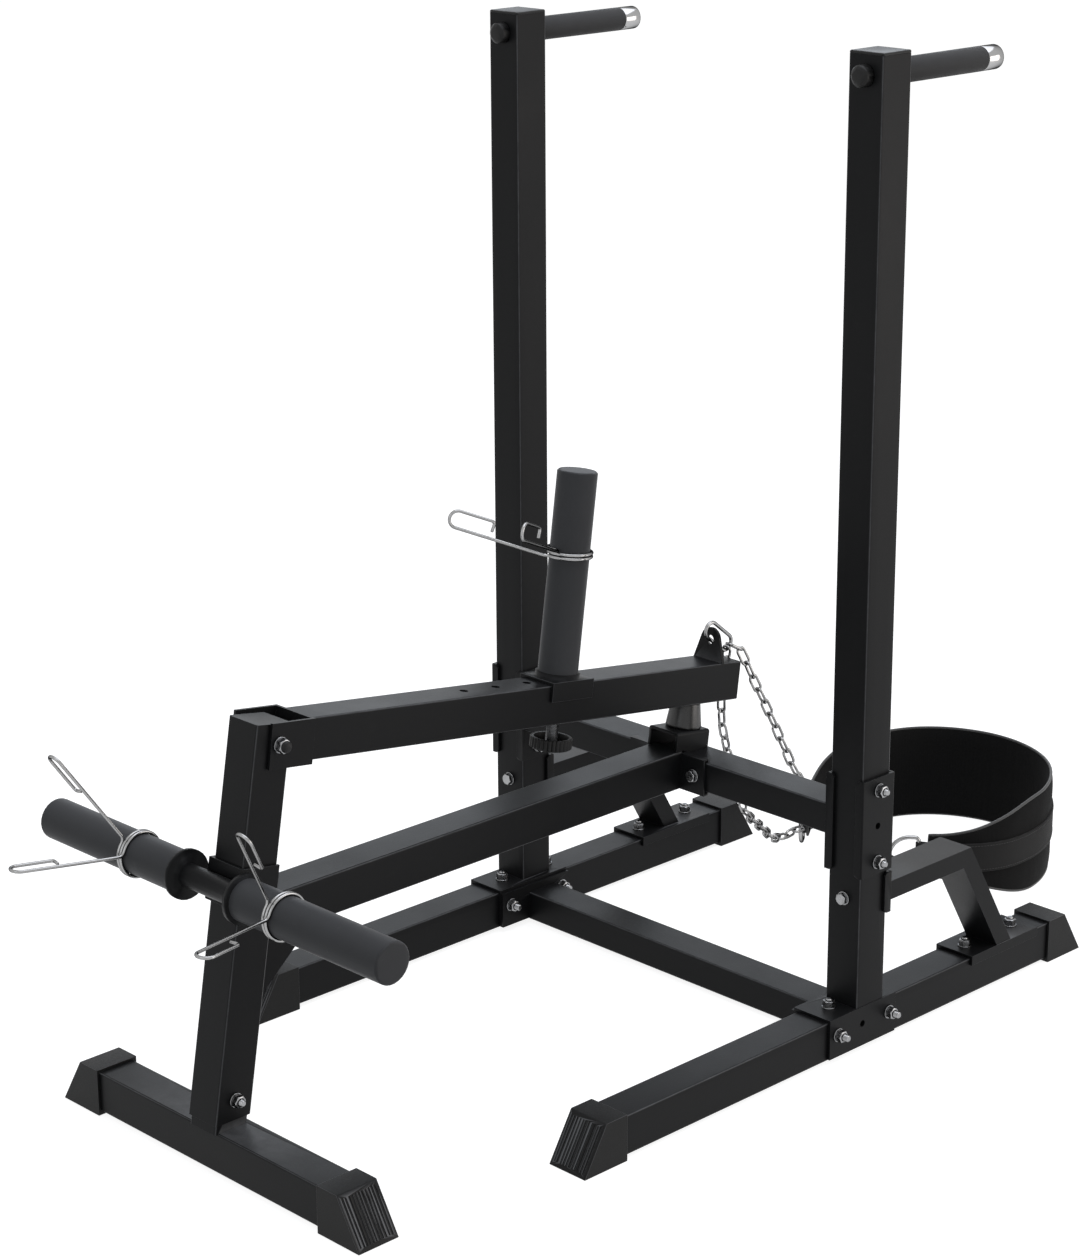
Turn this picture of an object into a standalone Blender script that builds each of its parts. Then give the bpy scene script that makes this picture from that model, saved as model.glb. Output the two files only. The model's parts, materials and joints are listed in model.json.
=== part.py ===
"""Dip station with a belt-squat lever, built as separate parts on real joints.

Metres, +Z up. -Y is the side with the leaning post and the storage bar, and
the handles point to +Y. The plan is laid out from the centre plane of the
uprights, and the last step moves all of it so that the origin is at the
centre of the footprint, on the floor.
"""

import math

import bmesh
import bpy
from mathutils import Matrix, Vector
from mathutils.geometry import intersect_line_line

# Stock and clearances
TUBE = 0.0508
TUBE_WALL = 0.002
TUBE_CORNER = 0.0025
FLAT_HEIGHT = 0.040
PLATE = 0.004
SEAT = 0.0003
HOLE_PLAY = 0.0006
RUNNING_PLAY = 0.0001
EDGE = 0.002
TRIMMED = 0.030

# Footprint
RAIL_X = 0.2945
RAIL_FRONT = -0.4326
RAIL_REAR = 0.3677
RAIL_BOTTOM = 0.0046
POST_BASE_Y = -0.773
FOOT_AHEAD = 0.0035
FOOT_Y = POST_BASE_Y + FOOT_AHEAD
FOOT_REACH = 0.2016

# Shoes on the tube ends
SHOE_WALL = 0.004
SHOE_TOP = 0.034
SHOE_BOTTOM = 0.070
SHOE_GRIP = 0.028
SHOE_RIBS = 11
SHOE_RIB_WIDTH = 0.0022
SHOE_RIB_DEPTH = 0.0016
SHOE_BORDER = 0.006

# Uprights and their foot saddles
UPRIGHT_X = 0.298
UPRIGHT_TOP = 1.2338
CAP_HEIGHT = 0.003
CAP_PLUG = 0.009
CAP_RIM = 0.0012
SADDLE_FRONT = -0.076
SADDLE_REAR = 0.049
SADDLE_BOTTOM = 0.007
STUD_Y = (-0.061, 0.036)
STUD_Z = 0.037
STUD_TAIL = 0.008
SPARE_HOLE_Y = -0.0145

# Crossbar between the uprights
CROSSBAR_Z = 0.2973
CHANNEL_LENGTH = 0.126
CHANNEL_FLANGE = 0.012
CHANNEL_CORNER = 0.005
BOLT_PITCH = 0.0936

# Rear braces
BRACE_HEIGHT = 0.025
BRACE_TOP = 0.2137
BRACE_BEND = 0.1936
BRACE_LEAN = math.radians(30.5)
BRACE_WALL = 0.002
BRACE_PLATE_LOW = 0.176
BRACE_PLATE_HIGH = 0.230
REAR_SADDLE_FRONT = 0.2035
REAR_SADDLE_REAR = 0.341
REAR_SADDLE_FLANGE = 0.013

# Leaning front post
POST_BASE_Z = 0.066
POST_LENGTH = 0.468
POST_LEAN = math.radians(9.9)
POST_CAP = 0.003
STUB_TOP = 0.090
POST_BOLT_HEIGHT = 0.025

# Storage bar on the post
STORAGE_OUT = 0.0412
STORAGE_HEIGHT = 0.2765
STORAGE_CLAMP_BELOW = 0.0235
STORAGE_CLAMP_ABOVE = 0.0265
STORAGE_HALF = 0.301
STORAGE_ROD_RADIUS = 0.014
STORAGE_DISC_X = 0.049
STORAGE_DISC_RADIUS = 0.030
STORAGE_DISC_WIDTH = 0.006

# Centre beam
BEAM_TOP = 0.324
BEAM_PLATE_HALF = 0.065
BEAM_BOLT_X = 0.047
GUSSET = 0.098
GUSSET_THICK = 0.005

# Lever, measured along it from the pivot
PIVOT_FROM_BASE = 0.083
PIVOT_Y = POST_BASE_Y + PIVOT_FROM_BASE
PIVOT_Z = 0.503
PIVOT_RADIUS = 0.005
PIVOT_HEAD_RADIUS = 0.0090
PIVOT_HEAD_HEIGHT = 0.0060
PIVOT_HEAD_EDGE = 0.0015
PIVOT_WASHER_RADIUS = 0.0096
PIVOT_NUT_HALF_FLAT = 0.0078
PIVOT_NUT_HEIGHT = 0.008
PIVOT_SPACER_RADIUS = 0.011
LEVER_SLOPE = math.radians(8.05)
BUMPER_Y = 0.0092
BUMPER_S = (BUMPER_Y - PIVOT_Y) / math.cos(LEVER_SLOPE)
EAR_PLAY = 0.0007
EAR_GAP_LEFT = 0.010
EAR_FRONT = -0.013
EAR_WEB = 0.046
EAR_BELOW = 0.003
SLEEVE_S = 0.4645
HOLE_PITCH = 0.0524
PIN_HOLES = 3
PIN_HOLE_RADIUS = 0.0056
SLEEVE_RADIUS = 0.025
SLEEVE_TOP = 0.286
SLEEVE_RING_RADIUS = 0.0275
SLEEVE_RING_HEIGHT = 0.006
CARRIAGE_HALF = 0.035
CARRIAGE_FLANGE = 0.0245
EYE_PAST_BUMPER = 0.0358
EYE_S = BUMPER_S + EYE_PAST_BUMPER
END_PAST_EYE = 0.034
LEVER_END = EYE_S + END_PAST_EYE
EYE_HEIGHT = 0.052
EYE_ROUND = 0.016
EYE_HOLE_RADIUS = 0.006
EYE_PLATE = 0.004

# Bumper under the lever
BUMPER_HEIGHT = 0.0342
BUMPER_TOP_RADIUS = 0.019
BUMPER_FOOT_RADIUS = 0.0232
BRACKET_FRONT = 0.0362
BRACKET_REAR = 0.0233

# Knob under the lever
KNOB_RADIUS = 0.0265
KNOB_RIB = 0.0016
KNOB_RIBS = 18
KNOB_WALL = 0.003
KNOB_DROP = 0.022
KNOB_HEIGHT = 0.015
KNOB_SHAFT_RADIUS = 0.008
KNOB_SCREW_RADIUS = 0.005
KNOB_SCREW_DEPTH = 0.024

# Handles
HANDLE_DROP = 0.0270
HANDLE_Z = UPRIGHT_TOP - HANDLE_DROP
HANDLE_CORE_RADIUS = 0.013
HANDLE_GRIP_RADIUS = 0.015
HANDLE_GRIP_END = 0.183
HANDLE_END = 0.211
HANDLE_SIDES = 22
HANDLE_PLUG_RADIUS = 0.0130
HANDLE_PLUG_HEIGHT = 0.014

# Bolts
BOLT_RADIUS = 0.004
HEAD_HALF_FLAT = 0.0069
HEAD_HEIGHT = 0.0055
NUT_HEIGHT = 0.008
WASHER_RADIUS = 0.0088
WASHER_HEIGHT = 0.0016
BOLT_TAIL = 0.005
BRACE_BOLT_TAIL = 0.002

# Spring collars
WIRE_RADIUS = 0.0020
COIL_PITCH = 0.0047
COIL_TURNS = 2
COIL_POINTS = 22
ARM_SPREAD = math.radians(16.0)
ARM_SPLAY = math.radians(19.5)
ARM_BEND = 0.008
ARM_LENGTH = 0.116
ARM_TILT = math.radians(14.0)
LOOP_WIDTH = 0.021
LOOP_LENGTH = 0.045
LOOP_CORNER = 0.004
LOOP_STUB = 0.004
LEFT_COLLAR_X = -0.140
RIGHT_COLLAR_X = 0.122
SLEEVE_COLLAR_HEIGHT = 0.155
STORAGE_COLLAR_TURN = math.radians(31.0)
SLEEVE_COLLAR_TURN = math.radians(-94.0)

# Hook and chain
HOOK_RADIUS = 0.0025
HOOK_HALF_LENGTH = 0.028
HOOK_HALF_WIDTH = 0.0105
HOOK_SLOPE = math.radians(39.0)
HOOK_BACK = 0.0104
HOOK_LOW = 0.0094
LINK_WIRE = 0.0018
LINK_PITCH = 0.0205
LINK_HALF_WIDTH = 0.0054
LINK_OVERLAP = 0.0012
LINK_END_ANGLE = math.radians(45.0)
RIGHT_CHAIN_TURN = math.radians(8.0)
RIGHT_CHAIN_LEAN = 0.25
RIGHT_CHAIN_PATH = (
    (0.016, 0.1146, 0.3890),
    (0.0242, 0.1422, 0.3305),
    (0.031, 0.1658, 0.2780),
    (0.0367, 0.1845, 0.2386),
    (0.046, 0.230, 0.165),
    (0.054, 0.280, 0.118),
)
LEFT_CHAIN_TURN = math.radians(-33.0)
LEFT_CHAIN_LEAN = -0.45
LEFT_CHAIN_PATH = (
    (-0.017, 0.0930, 0.3880),
    (-0.022, 0.0970, 0.3600),
    (-0.0215, 0.0985, 0.3180),
    (-0.0240, 0.112, 0.2780),
    (-0.034, 0.142, 0.2180),
    (-0.043, 0.171, 0.1690),
    (-0.065, 0.227, 0.1260),
    (-0.087, 0.284, 0.0860),
)

# Belt
BELT_PLAN = (
    (-0.126, 0.398),
    (-0.152, 0.436),
    (-0.174, 0.490),
    (-0.180, 0.545),
    (-0.174, 0.608),
    (-0.153, 0.660),
    (-0.115, 0.698),
    (-0.064, 0.720),
    (-0.011, 0.723),
    (0.042, 0.708),
    (0.086, 0.678),
    (0.120, 0.636),
    (0.142, 0.590),
    (0.152, 0.540),
    (0.153, 0.490),
    (0.140, 0.447),
    (0.118, 0.418),
    (0.094, 0.398),
)
BELT_THICK = 0.007
BELT_HEIGHT = 0.140
BELT_END_HEIGHT = 0.065
BELT_END_LIFT = 0.009
BELT_TAPER = 0.190
BELT_EDGE = 0.0025
BELT_STATIONS = 30
BELT_STEP = 0.001
STRAP_WIDTH = 0.042
STRAP_THICK = 0.0018
STRAP_REACH = 0.014
RING_WIRE = 0.0028
RING_HALF_HEIGHT = 0.028
RING_CORNER = 0.006
RING_REACH = 0.040

MIRRORED = (("left", -1), ("right", 1))


# Shapes: each is a list of points and a list of faces


def prism(outline, low, high, hollow=None):
    """A closed outline in XY, counter-clockwise, raised from low to high along Z."""
    count = len(outline)
    points = [(x, y, low) for x, y in outline] + [(x, y, high) for x, y in outline]
    faces = [(i, (i + 1) % count, count + (i + 1) % count, count + i) for i in range(count)]
    if hollow is None:
        faces.append(tuple(reversed(range(count))))
        faces.append(tuple(range(count, 2 * count)))
        return points, faces
    base = 2 * count
    points += [(x, y, low) for x, y in hollow] + [(x, y, high) for x, y in hollow]
    for i in range(count):
        j = (i + 1) % count
        faces.append((base + j, base + i, base + count + i, base + count + j))
        faces.append((j, i, base + i, base + j))
        faces.append((count + i, count + j, base + count + j, base + count + i))
    return points, faces


def box(low, high):
    outline = [(low[0], low[1]), (high[0], low[1]), (high[0], high[1]), (low[0], high[1])]
    return prism(outline, low[2], high[2])


def rounded_rectangle(width, height, radius, steps=2):
    points = []
    for quarter in range(4):
        angle = quarter * math.pi / 2
        sign_x, sign_y = ((1, 1), (-1, 1), (-1, -1), (1, -1))[quarter]
        for step in range(steps + 1):
            turn = angle + step * math.pi / 2 / steps
            points.append(
                (
                    sign_x * (width / 2 - radius) + radius * math.cos(turn),
                    sign_y * (height / 2 - radius) + radius * math.sin(turn),
                )
            )
    return points


def square_tube(width, height, low, high, wall=TUBE_WALL):
    """A hollow tube along Z with rounded corners, open at both ends."""
    outer = rounded_rectangle(width, height, TUBE_CORNER)
    inner = rounded_rectangle(width - 2 * wall, height - 2 * wall, TUBE_CORNER - wall)
    return prism(outer, low, high, inner)


def ring_stack(sections, sides, radius_at=None):
    """Rings (height, radius) round Z joined into one closed body."""
    points = []
    faces = []
    for height, radius in sections:
        for side in range(sides):
            angle = 2 * math.pi * side / sides
            reach = radius if radius_at is None else radius_at(radius, side)
            points.append((reach * math.cos(angle), reach * math.sin(angle), height))
    for ring in range(len(sections) - 1):
        for side in range(sides):
            a = ring * sides + side
            b = ring * sides + (side + 1) % sides
            faces.append((a, b, b + sides, a + sides))
    faces.append(tuple(reversed(range(sides))))
    last = (len(sections) - 1) * sides
    faces.append(tuple(range(last, last + sides)))
    return points, faces


def cylinder(radius, low, high, sides=24):
    return ring_stack([(low, radius), (high, radius)], sides)


def moved(shape, matrix):
    points, faces = shape
    return [tuple(matrix @ Vector(point)) for point in points], faces


def shifted(shape, x, y, z):
    return moved(shape, Matrix.Translation((x, y, z)))


def along_x(shape):
    """Turns a shape made along Z so that its Z runs along X and its X along Y."""
    return moved(shape, Matrix(((0, 0, 1), (1, 0, 0), (0, 1, 0))).to_4x4())


def along_y(shape):
    """Turns a shape made along Z so that its Z runs along Y and its X along Z."""
    return moved(shape, Matrix(((0, 1, 0), (0, 0, 1), (1, 0, 0))).to_4x4())


def across(outline, half_width):
    """A YZ outline, counter-clockwise seen from +X, made into a body across X."""
    return along_x(prism(outline, -half_width, half_width))


def smooth_path(controls, step, odd=False):
    """Points about one step apart on a smooth curve through the controls.

    With odd set, the number of steps is odd.
    """
    ends = [Vector(point) for point in controls]
    ends = [2 * ends[0] - ends[1], *ends, 2 * ends[-1] - ends[-2]]
    dense = []
    for i in range(1, len(ends) - 2):
        before, start, stop, after = ends[i - 1 : i + 3]
        for fraction in (k / 16 for k in range(16)):
            square = fraction * fraction
            cube = square * fraction
            dense.append(
                0.5
                * (
                    2 * start
                    + (stop - before) * fraction
                    + (2 * before - 5 * start + 4 * stop - after) * square
                    + (3 * start - before - 3 * stop + after) * cube
                )
            )
    dense.append(ends[-2])
    lengths = [0.0]
    for a, b in zip(dense, dense[1:]):
        lengths.append(lengths[-1] + (b - a).length)
    count = max(1, round(lengths[-1] / step))
    if odd:
        count = 2 * round((lengths[-1] / step - 1) / 2) + 1
    result = []
    at = 0
    for k in range(count + 1):
        target = lengths[-1] * k / count
        while at < len(dense) - 2 and lengths[at + 1] < target:
            at += 1
        part = (target - lengths[at]) / (lengths[at + 1] - lengths[at])
        result.append(dense[at].lerp(dense[at + 1], part))
    return result


def sweep(path, radius, sides, closed=False):
    """A round wire along a path, as one closed body."""
    count = len(path)
    points = []
    faces = []
    normal = None
    for i, here in enumerate(path):
        before = path[i - 1] if closed or i else here
        after = path[(i + 1) % count] if closed or i < count - 1 else here
        along = (after - before).normalized()
        if normal is None:
            guide = Vector((1, 0, 0)) if abs(along.x) < 0.7 else Vector((0, 0, 1))
            normal = along.cross(guide).normalized()
        normal = (normal - along * normal.dot(along)).normalized()
        side_way = along.cross(normal)
        for side in range(sides):
            angle = 2 * math.pi * side / sides
            offset = normal * math.cos(angle) + side_way * math.sin(angle)
            points.append(tuple(here + radius * offset))
    turn = 0
    if closed:
        first = Vector(points[0]) - path[0]
        last = [Vector(point) - path[-1] for point in points[-sides:]]
        turn = min(range(sides), key=lambda k: (last[k] - first).length)
    for i in range(count if closed else count - 1):
        low = i * sides
        high = ((i + 1) % count) * sides
        for side in range(sides):
            from_turn = turn if i == count - 1 else 0
            a = low + (side + from_turn) % sides
            b = low + (side + 1 + from_turn) % sides
            faces.append((a, b, high + (side + 1) % sides, high + side))
    if not closed:
        faces.append(tuple(reversed(range(sides))))
        faces.append(tuple(range((count - 1) * sides, count * sides)))
    return points, faces


# Objects


def mesh_of(name, shape):
    points, faces = shape
    mesh = bpy.data.meshes.new(name)
    mesh.from_pydata(points, [], faces)
    work = bmesh.new()
    work.from_mesh(mesh)
    bmesh.ops.recalc_face_normals(work, faces=work.faces)
    work.to_mesh(mesh)
    work.free()
    return mesh


def material(name, color, roughness, metallic):
    made = bpy.data.materials.new(name)
    made.use_nodes = True
    shader = made.node_tree.nodes["Principled BSDF"]
    shader.inputs["Base Color"].default_value = (*color, 1.0)
    shader.inputs["Roughness"].default_value = roughness
    shader.inputs["Metallic"].default_value = metallic
    return made


def powder_coat(name):
    return material(name, (0.018, 0.018, 0.020), 0.42, 0.0)


def bright_steel(name):
    return material(name, (0.72, 0.72, 0.73), 0.25, 1.0)


def black_rubber(name):
    return material(name, (0.014, 0.014, 0.015), 0.70, 0.0)


def black_plastic(name):
    return material(name, (0.016, 0.016, 0.018), 0.48, 0.0)


def black_fabric(name):
    return material(name, (0.012, 0.012, 0.013), 0.90, 0.0)


def add_object(name, mesh, finish, parent, place=None):
    made = bpy.data.objects.new(name, mesh)
    bpy.context.scene.collection.objects.link(made)
    made.parent = parent
    if place is not None:
        made.matrix_local = place
    if mesh.materials:
        made.material_slots[0].link = "OBJECT"
        made.material_slots[0].material = finish(name)
    else:
        mesh.materials.append(finish(name))
    return made


def solid(name, shape, finish, parent, joined=(), removed=()):
    """One sub-part: a shape with others welded to it and others cut from it."""
    mesh = mesh_of(name, shape)
    helper = bpy.data.objects.new(name + "_work", mesh)
    bpy.context.scene.collection.objects.link(helper)
    tools = []
    for operation, shapes in (("UNION", joined), ("DIFFERENCE", removed)):
        for other in shapes:
            tool = bpy.data.objects.new(name + "_tool", mesh_of(name + "_tool", other))
            tool.hide_render = True
            tool.display_type = "WIRE"
            bpy.context.scene.collection.objects.link(tool)
            modifier = helper.modifiers.new(operation, "BOOLEAN")
            modifier.operation = operation
            modifier.solver = "EXACT"
            modifier.object = tool
            tools.append(tool)
    graph = bpy.context.evaluated_depsgraph_get()
    final = bpy.data.meshes.new_from_object(helper.evaluated_get(graph))
    final.name = name
    for piece in (helper, *tools):
        old = piece.data
        bpy.data.objects.remove(piece)
        bpy.data.meshes.remove(old)
    final.materials.clear()
    final.polygons.foreach_set("use_smooth", [True] * len(final.polygons))
    final.set_sharp_from_angle(angle=math.radians(35))
    return add_object(name, final, finish, parent)


def shape_of(work):
    """The points and faces of a work object, which is then removed."""
    shape = (
        [tuple(vertex.co) for vertex in work.data.vertices],
        [tuple(face.vertices) for face in work.data.polygons],
    )
    bpy.data.objects.remove(work)
    return shape


def empty(name, place, parent=None):
    made = bpy.data.objects.new(name, None)
    bpy.context.scene.collection.objects.link(made)
    made.parent = parent
    made.matrix_local = place
    return made


# Frames of the leaning post and of the lever


def post_frame():
    place = Matrix.Translation((0, POST_BASE_Y, POST_BASE_Z))
    return place @ Matrix.Rotation(-POST_LEAN, 4, "X")


def lever_frame():
    place = Matrix.Translation((0, PIVOT_Y, PIVOT_Z))
    return place @ Matrix.Rotation(-LEVER_SLOPE, 4, "X")


def bolt_hole(low, high):
    return cylinder(BOLT_RADIUS + HOLE_PLAY, low, high, 8)


def bolt_hole_x(x_low, x_high, y, z):
    return shifted(along_x(bolt_hole(x_low, x_high)), 0, y, z)


def bolt_hole_y(y_low, y_high, x, z):
    return shifted(along_y(bolt_hole(y_low, y_high)), x, 0, z)


def pin_hole(z_low, z_high, y):
    return shifted(cylinder(PIN_HOLE_RADIUS, z_low, z_high, 8), 0, y, 0)


def channel(length, inside, flange, corner=CHANNEL_CORNER):
    """A U of plate along Z. Its web is at +X and its flanges reach to -X."""
    half = inside / 2 + PLATE
    side_view = [(0, -length / 2), (0, length / 2)]
    for start, centre in ((math.pi / 2, length / 2 - corner), (math.pi, corner - length / 2)):
        for step in range(4):
            turn = start + step * math.pi / 6
            x = -flange + corner + corner * math.cos(turn)
            side_view.append((x, centre + corner * math.sin(turn)))
    stand = Matrix(((1, 0, 0), (0, 0, -1), (0, 1, 0))).to_4x4()
    body = moved(prism(side_view, -half, half), stand)
    inner = box((-flange - PLATE, -inside / 2, -length), (-PLATE, inside / 2, length))
    return body, inner


def hexagon(half_flat, low, high):
    corner = half_flat / math.cos(math.pi / 6)
    return cylinder(corner, low, high, 6)


def add_bolt(name, grip, place, parent, tail=BOLT_TAIL):
    """A hexagon bolt along Z with its head below 0, and a nut above the grip."""
    bite = SEAT
    low = -SEAT - WASHER_HEIGHT
    high = grip + SEAT + WASHER_HEIGHT
    shank = cylinder(BOLT_RADIUS, low - HEAD_HEIGHT / 2, high + NUT_HEIGHT + tail, 8)
    pieces = [
        hexagon(HEAD_HALF_FLAT, low - HEAD_HEIGHT, low + bite),
        cylinder(WASHER_RADIUS, low, -SEAT, 12),
        cylinder(WASHER_RADIUS, grip + SEAT, high, 12),
        hexagon(HEAD_HALF_FLAT, high - bite, high + NUT_HEIGHT),
    ]
    made = solid(name, shank, bright_steel, parent, joined=pieces)
    made.matrix_local = place


def placed(axis, x, y, z):
    """The frame of a bolt at a point, with its Z along +X or +Y."""
    turns = {
        "+X": Matrix.Rotation(math.pi / 2, 4, "Y"),
        "+Y": Matrix.Rotation(-math.pi / 2, 4, "X"),
    }
    return Matrix.Translation((x, y, z)) @ turns[axis]


# Feet, rails and shoes


def shoe_shape():
    """A shoe with its tube coming from -X, its floor at 0 and its inner end at 0."""
    half = TUBE / 2 + SHOE_WALL
    top = RAIL_BOTTOM + TUBE + SHOE_WALL
    outline = [(0, 0), (SHOE_BOTTOM, 0), (SHOE_TOP, top), (0, top)]
    stand = Matrix(((1, 0, 0), (0, 0, -1), (0, 1, 0))).to_4x4()
    body = moved(prism(outline, -half, half), stand)
    middle = RAIL_BOTTOM + TUBE / 2
    socket = TUBE / 2 + SEAT
    pocket = box((-TUBE, -socket, middle - socket), (SHOE_GRIP, socket, middle + socket))
    grooves = []
    lean = math.atan2(SHOE_BOTTOM - SHOE_TOP, top)
    slant = top / math.cos(lean)
    face = Matrix.Translation((SHOE_BOTTOM, 0, 0)) @ Matrix.Rotation(-lean, 4, "Y")
    span = 2 * (half - SHOE_BORDER)
    for rib in range(SHOE_RIBS):
        y = -span / 2 + span * rib / (SHOE_RIBS - 1)
        groove = box(
            (-SHOE_RIB_DEPTH, y - SHOE_RIB_WIDTH / 2, SHOE_BORDER),
            (SHOE_BORDER, y + SHOE_RIB_WIDTH / 2, slant - SHOE_BORDER),
        )
        grooves.append(moved(groove, face))
    return body, [pocket, *grooves]


def add_shoes(root):
    body, cuts = shoe_shape()
    places = {
        "front_foot_shoe_left": (math.pi, -FOOT_REACH, FOOT_Y),
        "front_foot_shoe_right": (0.0, FOOT_REACH, FOOT_Y),
    }
    for side, sign in MIRRORED:
        places[f"rail_front_shoe_{side}"] = (-math.pi / 2, sign * RAIL_X, RAIL_FRONT)
        places[f"rail_rear_shoe_{side}"] = (math.pi / 2, sign * RAIL_X, RAIL_REAR)
    mesh = None
    for name, (turn, x, y) in places.items():
        place = Matrix.Translation((x, y, 0)) @ Matrix.Rotation(turn, 4, "Z")
        if mesh is None:
            first = solid(name, body, black_rubber, root, removed=cuts)
            first.matrix_local = place
            mesh = first.data
        else:
            add_object(name, mesh, black_rubber, root, place)


def add_front_foot(root):
    reach = FOOT_REACH + SHOE_GRIP - SEAT
    middle = RAIL_BOTTOM + TUBE / 2
    tube = shifted(along_x(square_tube(TUBE, TUBE, -reach, reach)), 0, FOOT_Y, middle)
    size = TUBE - 2 * TUBE_WALL - 2 * SEAT
    stub = moved(square_tube(size, size, -TRIMMED, STUB_TOP), post_frame())
    weld = RAIL_BOTTOM + TUBE - TUBE_WALL / 2
    below = box((-TUBE, FOOT_Y - 2 * TUBE, 0), (TUBE, FOOT_Y + 2 * TUBE, weld))
    hole = moved(bolt_hole_x(-TUBE, TUBE, 0, POST_BOLT_HEIGHT), post_frame())
    work = solid("stub_work", stub, powder_coat, root, removed=[below, hole])
    solid("front_foot", tube, powder_coat, root, joined=[shape_of(work)])


def add_rails(root):
    middle = RAIL_BOTTOM + TUBE / 2
    front = RAIL_FRONT - SHOE_GRIP + SEAT
    rear = RAIL_REAR + SHOE_GRIP - SEAT
    for side, sign in MIRRORED:
        x = sign * RAIL_X
        tube = shifted(along_y(square_tube(TUBE, TUBE, front, rear)), x, 0, middle)
        cuts = [
            bolt_hole_x(x - TUBE, x + TUBE, y, STUD_Z) for y in (*STUD_Y, SPARE_HOLE_Y)
        ]
        solid(f"base_rail_{side}", tube, powder_coat, root, removed=cuts)


def add_lower_cross_tube(root):
    inner = RAIL_X - TUBE / 2 - SEAT - PLATE - SEAT
    z = RAIL_BOTTOM + FLAT_HEIGHT / 2
    half = inner - PLATE / 2
    tube = shifted(along_x(square_tube(TUBE, FLAT_HEIGHT, -half, half)), 0, 0, z)
    plates = []
    cuts = []
    for _, sign in MIRRORED:
        near, far = sorted((sign * (inner - PLATE), sign * inner))
        plates.append(
            box((near, SADDLE_FRONT, SADDLE_BOTTOM), (far, SADDLE_REAR, RAIL_BOTTOM + TUBE))
        )
        cuts += [
            bolt_hole_x(near - PLATE, far + PLATE, y, STUD_Z) for y in (*STUD_Y, SPARE_HOLE_Y)
        ]
    solid("lower_cross_tube", tube, powder_coat, root, joined=plates, removed=cuts)


# Uprights


def saddle(x, front, rear, bottom):
    """A U of plate over a rail, open below."""
    top = RAIL_BOTTOM + TUBE + SEAT
    half = TUBE / 2 + SEAT
    body = box((x - half - PLATE, front, bottom), (x + half + PLATE, rear, top + PLATE))
    inner = box((x - half, front - PLATE, bottom - PLATE), (x + half, rear + PLATE, top))
    return body, inner


def crossbar_bolt_heights():
    return (CROSSBAR_Z - BOLT_PITCH / 2, CROSSBAR_Z + BOLT_PITCH / 2)


def brace_bolt_height():
    return BRACE_TOP - BRACE_HEIGHT / 2


def add_upright(side, sign, root):
    x = sign * UPRIGHT_X
    rail_x = sign * RAIL_X
    body, inner = saddle(rail_x, SADDLE_FRONT, SADDLE_REAR, SADDLE_BOTTOM)
    saddle_top = RAIL_BOTTOM + TUBE + SEAT + PLATE
    top = UPRIGHT_TOP - CAP_HEIGHT - SEAT
    tube = shifted(square_tube(TUBE, TUBE, saddle_top - PLATE / 2, top), x, 0, 0)
    cuts = [inner]
    cuts += [
        bolt_hole_x(rail_x - TUBE, rail_x + TUBE, y, STUD_Z) for y in (*STUD_Y, SPARE_HOLE_Y)
    ]
    cuts += [
        bolt_hole_x(x - TUBE, x + TUBE, 0, z) for z in (*crossbar_bolt_heights(), CROSSBAR_Z)
    ]
    cuts.append(bolt_hole_y(-TUBE, TUBE, x, brace_bolt_height()))
    bore = cylinder(HANDLE_CORE_RADIUS + SEAT, -TUBE, TUBE, HANDLE_SIDES)
    cuts.append(shifted(along_y(bore), x, 0, HANDLE_Z))
    solid(f"upright_{side}", tube, powder_coat, root, joined=[body], removed=cuts)


def cap_shape():
    """A flat cap with a sloping rim and a plug below it, its underside at 0."""
    outline = rounded_rectangle(TUBE, TUBE, TUBE_CORNER)
    small = TUBE - 2 * CAP_RIM
    inner = rounded_rectangle(small, small, TUBE_CORNER - CAP_RIM)
    points, faces = prism(outline, 0, CAP_HEIGHT - CAP_RIM)
    count = len(outline)
    faces = faces[:-1]
    points += [(x, y, CAP_HEIGHT) for x, y in inner]
    for i in range(count):
        j = (i + 1) % count
        faces.append((count + i, count + j, 2 * count + j, 2 * count + i))
    faces.append(tuple(range(2 * count, 3 * count)))
    size = TUBE - 2 * TUBE_WALL - 2 * SEAT
    plug = rounded_rectangle(size, size, TUBE_CORNER - TUBE_WALL)
    return (points, faces), prism(plug, -CAP_PLUG, CAP_RIM)


def add_upright_caps(root):
    plate, plug = cap_shape()
    first = solid("upright_cap_left", plate, black_plastic, root, joined=[plug])
    first.matrix_local = Matrix.Translation((-UPRIGHT_X, 0, UPRIGHT_TOP - CAP_HEIGHT))
    place = Matrix.Translation((UPRIGHT_X, 0, UPRIGHT_TOP - CAP_HEIGHT))
    add_object("upright_cap_right", first.data, black_plastic, root, place)


def add_mid_crossbar(root):
    inner_face = UPRIGHT_X - TUBE / 2 - SEAT
    half = inner_face - PLATE / 2
    tube = along_x(square_tube(TUBE, FLAT_HEIGHT, -half, half))
    tube = shifted(tube, 0, 0, CROSSBAR_Z)
    joined = []
    cuts = []
    for _, sign in MIRRORED:
        body, inner = channel(CHANNEL_LENGTH, TUBE + 2 * SEAT, CHANNEL_FLANGE)
        # The web's back is at the crossbar, so the channel is turned to open outwards.
        turn = Matrix.Rotation(math.pi if sign > 0 else 0, 4, "Z")
        place = Matrix.Translation((sign * (inner_face - PLATE), 0, CROSSBAR_Z)) @ turn
        inner = moved(inner, place)
        work = solid("channel_work", moved(body, place), powder_coat, root, removed=[inner])
        joined.append(shape_of(work))
        cuts += [
            bolt_hole_x(sign * inner_face - TUBE / 4, sign * inner_face + TUBE / 4, 0, z)
            for z in crossbar_bolt_heights()
        ]
        cuts.append(bolt_hole_y(-TUBE, TUBE, sign * BEAM_BOLT_X, CROSSBAR_Z))
    solid("mid_crossbar", tube, powder_coat, root, joined=joined, removed=cuts)


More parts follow.
